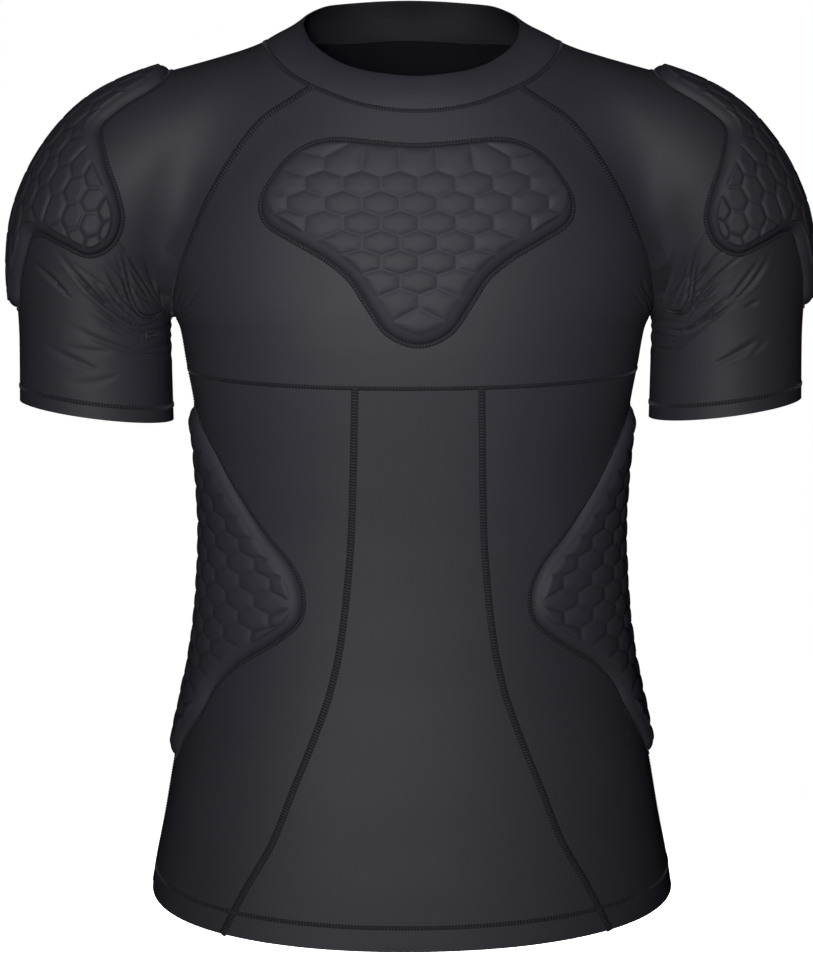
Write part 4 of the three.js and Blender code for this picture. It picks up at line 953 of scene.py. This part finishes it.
# A quilted pad: each cell is six wedges, drawn in rings from its middle to its rim. A cell's top rises
# from the groove as 1 - (1 - nearness to its middle)^round, and the flank falls from there to the edge.
def padPiece(name, pad, outline, toSurface):
    number, places, rim, loop, marks, lap = padCells(outline, *pad["cell"])
    steps = pad["steps"]

    def flankWidth(mark):
        lean = np.clip(0.5 + padForm["lean"] * intoPad(outline, mark)[..., 1], 0, 1)
        return mix(pad["narrow"], pad["wide"], lean)[..., None]

    def inset(mark, share=1.0):
        return onOutline(outline, mark) + intoPad(outline, mark) * flankWidth(mark) * share

    def raised(flat, lift):
        p = toSurface(flat[..., 0], flat[..., 1])
        return p + outwardAt(p) * np.asarray(lift)[..., None]

    onLoop = np.full(len(places), -1)
    onLoop[loop] = np.arange(len(loop))
    top = places.copy()
    top[loop] = inset(marks)
    low = places.copy()
    low[loop] = onOutline(outline, marks)
    laterMarks = np.concatenate([marks[1:], [marks[0] + lap]])
    start, end = number, np.roll(number, -1, 1)
    markStart = np.where(rim, marks[onLoop[start]], 0)
    markEnd = np.where(rim, laterMarks[onLoop[start]], 0)

    ring = np.concatenate([np.full(k + 1, k) for k in range(steps + 1)])
    slot = np.concatenate([np.arange(k + 1) for k in range(steps + 1)])
    sideways = slot / np.maximum(ring, 1)
    nearMiddle = (1 - ring / steps) ** padForm["crowding"]
    first = np.cumsum(np.arange(steps + 1))
    wedge = []
    for k in range(steps):
        a = first[k] + np.arange(k + 1)
        b = first[k + 1] + np.arange(k + 1)
        wedge.append(np.stack([a, b, b + 1], axis=1))
        if k:
            wedge.append(np.stack([a[:-1], b[1:], a[1:]], axis=1))
    wedge = np.concatenate(wedge)

    straight = mix(top[start][:, :, None], top[end][:, :, None], sideways[:, None])
    curved = inset(mix(markStart[..., None], markEnd[..., None], sideways))
    border = np.where(rim[..., None, None], curved, straight)
    centre = top[number].mean(axis=1)[:, None, None]
    flat = mix(border, centre, nearMiddle[:, None])
    puff = 1 - (1 - nearMiddle) ** pad["round"]
    swell = pad["rim"] * np.exp(-((nearMiddle - padForm["rimAt"]) / padForm["rimWidth"]) ** 2)
    swell = swell - pad["rim"] * padForm["hollow"] * nearMiddle**2
    lift = pad["groove"] + (pad["height"] - pad["groove"]) * puff + swell
    cellPoints = raised(flat, np.broadcast_to(lift, flat.shape[:-1]))
    count = len(ring)
    wedges = cellPoints.shape[0] * 6
    topFaces = (np.arange(wedges)[:, None, None] * count + wedge).reshape(-1, 3)
    points = [cellPoints.reshape(-1, 3)]
    runs = [flat.reshape(-1, 2)]
    faces = [topFaces]
    total = wedges * count

    down = np.linspace(0, 1, padForm["flankSteps"] + 1)
    drop = 0.4 * down + 0.6 * np.sin(down * np.pi / 2)
    fall = 0.4 * (1 - down) + 0.6 * np.cos(down * np.pi / 2)
    edgeMark = mix(marks[:, None], laterMarks[:, None], np.linspace(0, 1, steps + 1)[None])
    flankFlat = inset(edgeMark[..., None], 1 - drop[:, None])
    flankLift = pad["edge"] + (pad["groove"] - pad["edge"]) * fall
    flank = raised(flankFlat, np.broadcast_to(flankLift, flankFlat.shape[:-1]))
    strips, alongSteps, downSteps = flank.shape[:3]
    strip = gridFaces(alongSteps, downSteps)
    faces.append((np.arange(strips)[:, None, None] * alongSteps * downSteps + strip).reshape(-1, 4) + total)
    points.append(flank.reshape(-1, 3))
    runs.append(flankFlat.reshape(-1, 2))
    total += strips * alongSteps * downSteps

    # Underside: one fan of triangles for each wedge, finer only along the pad's edge
    below = mix(low[start][:, :, None], low[end][:, :, None], np.linspace(0, 1, steps + 1)[:, None])
    rimBelow = onOutline(outline, mix(markStart[..., None], markEnd[..., None], np.linspace(0, 1, steps + 1)))
    below = np.where(rim[..., None, None], rimBelow, below)
    onEdge = onLoop[number] >= 0
    belowLift = np.full(below.shape[:3], pad["foot"], float)
    belowLift[..., 0] = np.where(onEdge, pad["edge"], pad["foot"])
    belowLift[..., -1] = np.where(np.roll(onEdge, -1, 1), pad["edge"], pad["foot"])
    belowLift = np.where(rim[..., None], pad["edge"], belowLift)
    belowPoints = raised(below, belowLift)
    middleFlat = low[number].mean(axis=1)
    middleBelow = raised(middleFlat, np.full(len(middleFlat), pad["foot"], float))
    points += [belowPoints.reshape(-1, 3), middleBelow]
    runs += [below.reshape(-1, 2), middleFlat]
    size = steps + 1
    index = np.arange(below.shape[0] * 6 * size).reshape(-1, 6, size) + total
    hub = (np.arange(len(middleBelow)) + total + index.size)[:, None, None]
    fans = np.stack([np.broadcast_to(hub, index[..., 1:].shape), index[..., 1:], index[..., :-1]], axis=-1)
    plain = np.stack([np.broadcast_to(hub[..., 0], rim.shape), index[..., -1], index[..., 0]], axis=-1)
    faces += [fans[rim].reshape(-1, 3), plain[~rim]]
    points, runs = np.concatenate(points), np.concatenate(runs)
    used = np.unique(np.concatenate([part.ravel() for part in faces]))
    renumber = np.full(len(points), -1)
    renumber[used] = np.arange(len(used))
    faces = [renumber[part] for part in faces]
    piece = makePiece(name, points[used], faces, [padCloth], runs[used], weld=0.01, sharp=70)
    build = bmesh.new()
    build.from_mesh(piece.data)
    bmesh.ops.recalc_face_normals(build, faces=build.faces)
    build.to_mesh(piece.data)
    build.free()
    return piece


# Chest pad: flat across and up, laid straight back onto the chest
def onChest(u, v):
    return ontoFace(u, v, -1, 0)


# Shoulder pad: u runs round the arm from its ridge, v up the arm's axis
padRadius = float(curveThrough(armRadii, armPath["slopeRun"] + bendLength / 2))


def shoulderFlat(outline):
    x, z = np.array(outline, float).T
    p = ontoFace(np.minimum(x, underarm[0] + 2 * padRadius - 3), z, -1)
    length = armNearest(p[:, 0], p[:, 2])[0]
    place, outward, _ = armAt(length)
    away = p - place
    turn = np.arctan2(-away[:, 1], np.sum(away * outward, axis=1))
    return np.stack([turn * padRadius, -length * shoulderPad["stretch"]], axis=1)


def onShoulder(u, v):
    place, outward, _ = armAt(-v / shoulderPad["stretch"])
    turn = (u / padRadius)[..., None]
    return leave(place, outward * np.cos(turn) + vectors(0, -1, 0) * np.sin(turn))


# Rib pad: u is the way round the trunk from the side seam (front is plus), v the height
ribStep = {"level": 2.5, "way": 2.0}
ribLevels = np.arange(-530, -245, ribStep["level"])
ribTurns = np.linspace(0, np.pi / 2, 37)
ribRings = [trunkPoint(np.pi / 2 - face * ribTurns[None], ribLevels[:, None]) for face in (1, -1)]
ribLengths = [runLengths(ring) for ring in ribRings]
ribWay = np.arange(0, 241, ribStep["way"])
ribTable = [np.stack([np.interp(ribWay, row, ribTurns) for row in lengths]) for lengths in ribLengths]


# Turn from the side seam at a way round and a height, between the rows and columns of the tables
def ribTurn(table, way, z):
    i = np.clip((z - ribLevels[0]) / ribStep["level"], 0, len(ribLevels) - 1.001)
    k = np.clip(way / ribStep["way"], 0, len(ribWay) - 1.001)
    row, column = i.astype(int), k.astype(int)
    upper = mix(table[row, column], table[row, column + 1], k - column)
    lower = mix(table[row + 1, column], table[row + 1, column + 1], k - column)
    return mix(upper, lower, i - row)


def onRibs(u, v):
    turn = np.where(u >= 0, ribTurn(ribTable[0], np.abs(u), v), ribTurn(ribTable[1], np.abs(u), v))
    return trunkPoint(np.pi / 2 - np.where(u >= 0, 1, -1) * turn, v)


def ribFlat(outline):
    x, z = np.array(outline, float).T
    row = np.rint((z - ribLevels[0]) / ribStep["level"]).astype(int)
    row = np.clip(row, 0, len(ribLevels) - 1)
    way = [np.interp(a, ribRings[0][r, ::-1, 0], ribLengths[0][r, ::-1]) for a, r in zip(x, row)]
    return np.stack([np.array(way), z], axis=1)


def bothWays(points, ends):
    points = np.array(points, float)
    back = points[::-1] if ends else points[1:-1][::-1]
    return np.concatenate([points, back * [-1, 1]])


def mirroredPlace(place):
    return lambda u, v: mirrored(place(u, v))


chestOutline = smoothOutline(bothWays(chestPad["outline"], False))
shoulderOutline = smoothOutline(bothWays(shoulderFlat(shoulderPad["outline"]), True))
ribOutline = smoothOutline(bothWays(ribFlat(ribPad["outline"]), True))
pads = [
    ("chestPad", "chest_pad", chestPad, chestOutline, onChest, 0.8),
    ("shoulderPadLeft", "shoulder_pad_left", shoulderPad, shoulderOutline, onShoulder, 0.8),
    ("shoulderPadRight", "shoulder_pad_right", shoulderPad, shoulderOutline, mirroredPlace(onShoulder), 0.8),
    ("ribPadLeft", "rib_pad_left", ribPad, ribOutline, onRibs, 0.8),
    ("ribPadRight", "rib_pad_right", ribPad, ribOutline, mirroredPlace(onRibs), 0.8),
]
for name, node, pad, outline, place, fill in pads:
    piece = padPiece(name, pad, outline, place)
    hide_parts(node)

# Flatlock seams: a low band along each seam, crossed by threads
flatlock = {"width": 6.0, "rise": 0.42, "step": 2.0, "columns": 5, "pitch": 2.1, "strand": 0.34, "slant": 0.7}


# Even points along a path on the figure, with the onward direction and the one across
def pathFrames(path, step, closed):
    path = np.concatenate([path, path[:1]]) if closed else path
    length = np.linalg.norm(np.diff(path, axis=0), axis=1).sum()
    count = max(4, int(round(length / step)))
    points = evenly(path, count)
    onward = np.gradient(points, axis=0)
    if closed:
        onward[0] = onward[-1] = points[1] - points[-2]
        points, onward = points[:-1], onward[:-1]
    points = settle(points, 3)
    onward = unit(onward)
    aside = unit(np.cross(outwardAt(points), onward))
    return points, onward, aside


# Band: a low arch across the seam, its edges just below the cloth; then threads, each a thin
# four-sided strand that crosses the band on a slant and dips at both ends
def seamMesh(path, look, closed=False):
    points, _, aside = pathFrames(path, look["step"], closed)
    offset = np.linspace(-0.5, 0.5, look["columns"] + 1)
    spread = settle(points[:, None] + aside[:, None] * (offset * look["width"])[None, :, None], 2)
    outward = outwardAt(spread)
    lift = rippleAt(spread) + look["rise"] * (1 - (2 * np.abs(offset)) ** 2.5) - 0.12
    band = spread + outward * lift[..., None]
    rows, columns = band.shape[:2]
    index = np.arange(rows * columns).reshape(rows, columns)
    if closed:
        index = np.concatenate([index, index[:1]])
    faces = quads(index)
    if lookBack(band.reshape(-1, 3), faces, outward.reshape(-1, 3)[faces[:, 0]]):
        faces = faces[:, ::-1]

    points, onward, aside = pathFrames(path, look["pitch"], closed)
    t = np.array([0, 0.18, 0.5, 0.82, 1.0])
    spine = points[:, None] + aside[:, None] * ((t - 0.5) * look["width"] * 0.86)[None, :, None]
    spine = spine + onward[:, None] * ((t - 0.5) * look["slant"])[None, :, None]
    spine = settle(spine, 2)
    spineOut = outwardAt(spine)
    arch = rippleAt(spine) + look["rise"] * (1 - (2 * np.abs(t - 0.5) * 0.9) ** 2.5)
    arch = arch + look["strand"] * np.array([-1.6, 0.2, 0.35, 0.2, -1.6])
    spine = spine + spineOut * arch[..., None]
    turn = np.arange(4) * np.pi / 2 + np.pi / 4
    thick = look["strand"] * np.array([0.6, 1, 1.1, 1, 0.6])[None, :, None, None]
    tube = spine[:, :, None] + thick * (onward[:, None, None] * np.cos(turn)[:, None]
                                       + spineOut[:, :, None] * np.sin(turn)[:, None])
    strands, rings = tube.shape[:2]
    ringIndex = np.arange(rings * 4).reshape(rings, 4)
    ringIndex = np.concatenate([ringIndex, ringIndex[:, :1]], axis=1)
    side = quads(ringIndex)[:, [0, 3, 2, 1]]
    caps = np.array([[3, 2, 1, 0], np.arange(4) + (rings - 1) * 4])
    strandFaces = np.concatenate([side, caps[:, ::-1]])
    sample = tube[0].reshape(-1, 3)
    if lookBack(sample, strandFaces, sample[strandFaces].mean(1) - sample.mean(0)):
        strandFaces = strandFaces[:, ::-1]
    strandStarts = np.arange(strands)[:, None, None] * rings * 4 + rows * columns
    strandFaces = (strandStarts + strandFaces).reshape(-1, 4)
    points = np.concatenate([band.reshape(-1, 3), tube.reshape(-1, 3)])
    return points, np.concatenate([faces, strandFaces]), len(faces)


def seamPiece(name, paths, look):
    points, faces, slots, total = [], [], [], 0
    for path, closed in paths:
        somePoints, someFaces, bandCount = seamMesh(path, look, closed)
        slots.append(np.arange(len(someFaces)) >= bandCount)
        points.append(somePoints)
        faces.append(someFaces + total)
        total += len(somePoints)
    piece = makePiece(name, np.concatenate(points), faces, [seamBand, thread], slots=np.concatenate(slots))
    return piece


turnRound = np.linspace(-np.pi, np.pi, 361)[:-1]
sideLine = trunkPoint(np.pi / 2, np.linspace(underarm[2] - 2, seams["hemSideZ"] + 1, 120))
frontTurns = np.linspace(-np.pi / 2, np.pi / 2, 160)
seamPlaces = {"hemLift": 17.0, "cuffLift": 10.5, "padOut": 1.6}
cuffTurn = np.linspace(0, 2 * np.pi, 161)[:-1]
cuffLine = roundSleeve(cuffTurn, cuffZ(cuffTurn) + seamPlaces["cuffLift"])
princessLine = sideGrid[:, 0]


# The seam round a pad: its outline, moved out by part of the seam's width
def padSeam(outline, place):
    marks = np.linspace(0, len(outline), 181)[:-1]
    flat = onOutline(outline, marks) - intoPad(outline, marks) * seamPlaces["padOut"]
    return place(flat[:, 0], flat[:, 1])


def bothSides(line, closed=False):
    return [(line, closed), (mirrored(line), closed)]


neckStitch = dict(flatlock, width=3.8, rise=0.35, pitch=1.9, slant=0.3, strand=0.3)
chestStitch = dict(flatlock, width=3.6, rise=0.35, strand=0.2)
seamPiece("neckFlatlock", [(neckPoint(np.linspace(-180, 180, 241)[:-1]), True)], neckStitch)
seamPiece("raglanFlatlock", bothSides(raglanFront) + bothSides(raglanBack), flatlock)
seamPiece("chestFlatlock", [(trunkPoint(frontTurns, chestSeamZ(frontTurns)), False)], chestStitch)
seamPiece("frontFlatlock", bothSides(princessLine), flatlock)
seamPiece("sideFlatlock", bothSides(sideLine), flatlock)
coverstitch = dict(flatlock, width=4.4, rise=0.2, pitch=2.2, slant=0.3, strand=0.4)
hemLine = trunkPoint(turnRound, hemZ(turnRound) + seamPlaces["hemLift"])
seamPiece("hemCoverstitch", [(hemLine, True)], coverstitch)
seamPiece("cuffCoverstitch", bothSides(cuffLine, True), coverstitch)
padStitch = dict(flatlock, width=3.6, rise=0.45, pitch=2.1, slant=0.4, strand=0.38)
padSeams = [(padSeam(chestOutline, onChest), True)]
padSeams += bothSides(padSeam(shoulderOutline, onShoulder), True)
padSeams += bothSides(padSeam(ribOutline, onRibs), True)
seamPiece("padStitching", padSeams, padStitch)

# Plain pale floor below the shirt, and a white room that only the camera sees
studio = {"floorZ": -1.45, "floorRadius": 40.0}
floorTurn = np.linspace(0, 2 * np.pi, 65)[:-1]
floorMesh = bpy.data.meshes.new("paleFloor")
rim = np.stack([np.cos(floorTurn), np.sin(floorTurn), 0 * floorTurn], axis=1) * studio["floorRadius"]
floorMesh.from_pydata((rim + [0, 0, studio["floorZ"]]).tolist(), [], [list(range(64))])
floor = bpy.data.objects.new("paleFloor", floorMesh)
bpy.context.collection.objects.link(floor)
floorMaterial = bpy.data.materials.new("paleFloor")
floorMaterial.use_nodes = True
floorSurface = floorMaterial.node_tree.nodes["Principled BSDF"]
floorLook = {"Base Color": (0.85, 0.85, 0.85, 1), "Roughness": 0.9, "Emission Color": (1, 1, 1, 1),
             "Emission Strength": 1.0}
for key, value in floorLook.items():
    floorSurface.inputs[key].default_value = value
floorMesh.materials.append(floorMaterial)
floor.visible_glossy = False
floor.visible_diffuse = False

world = bpy.data.worlds.new("whiteRoom")
world.use_nodes = True
world.node_tree.nodes["Background"].inputs["Color"].default_value = (1, 1, 1, 1)
world.node_tree.nodes["Background"].inputs["Strength"].default_value = 1.0
world.cycles_visibility.diffuse = False
world.cycles_visibility.glossy = False
bpy.context.scene.world = world
bpy.context.scene.view_settings.view_transform = "Standard"

# Soft boxes: name, place, what it points at, width and height in metres, spread in degrees, power in watts,
# seen in gloss
lights = [
    ("keySoftbox", (-0.45, -2.87, 0.0), (-0.02, 0, -0.27), 0.6, 1.2, 26, 3.1, True),
    ("topSoftbox", (0.05, -1.7, 1.0), (0, -0.05, -0.12), 0.5, 0.3, 16, 0.19, True),
    ("backSoftbox", (0.2, 3.0, 0.1), (0, 0, -0.3), 0.9, 1.8, 180, 130, False),
]
for name, place, aim, width, height, spread, power, glossy in lights:
    data = bpy.data.lights.new(name, "AREA")
    data.shape = "RECTANGLE"
    data.size, data.size_y = width, height
    data.energy = power
    data.spread = np.radians(spread)
    lamp = bpy.data.objects.new(name, data)
    lamp.visible_glossy = glossy
    direction = np.array(aim, float) - np.array(place, float)
    level = np.hypot(direction[0], direction[1])
    lamp.location = place
    heading = np.arctan2(direction[1], direction[0]) - np.pi / 2
    lamp.rotation_euler = (np.arctan2(level, -direction[2]), 0, heading)
    bpy.context.collection.objects.link(lamp)
print("camera, floor and lights set")
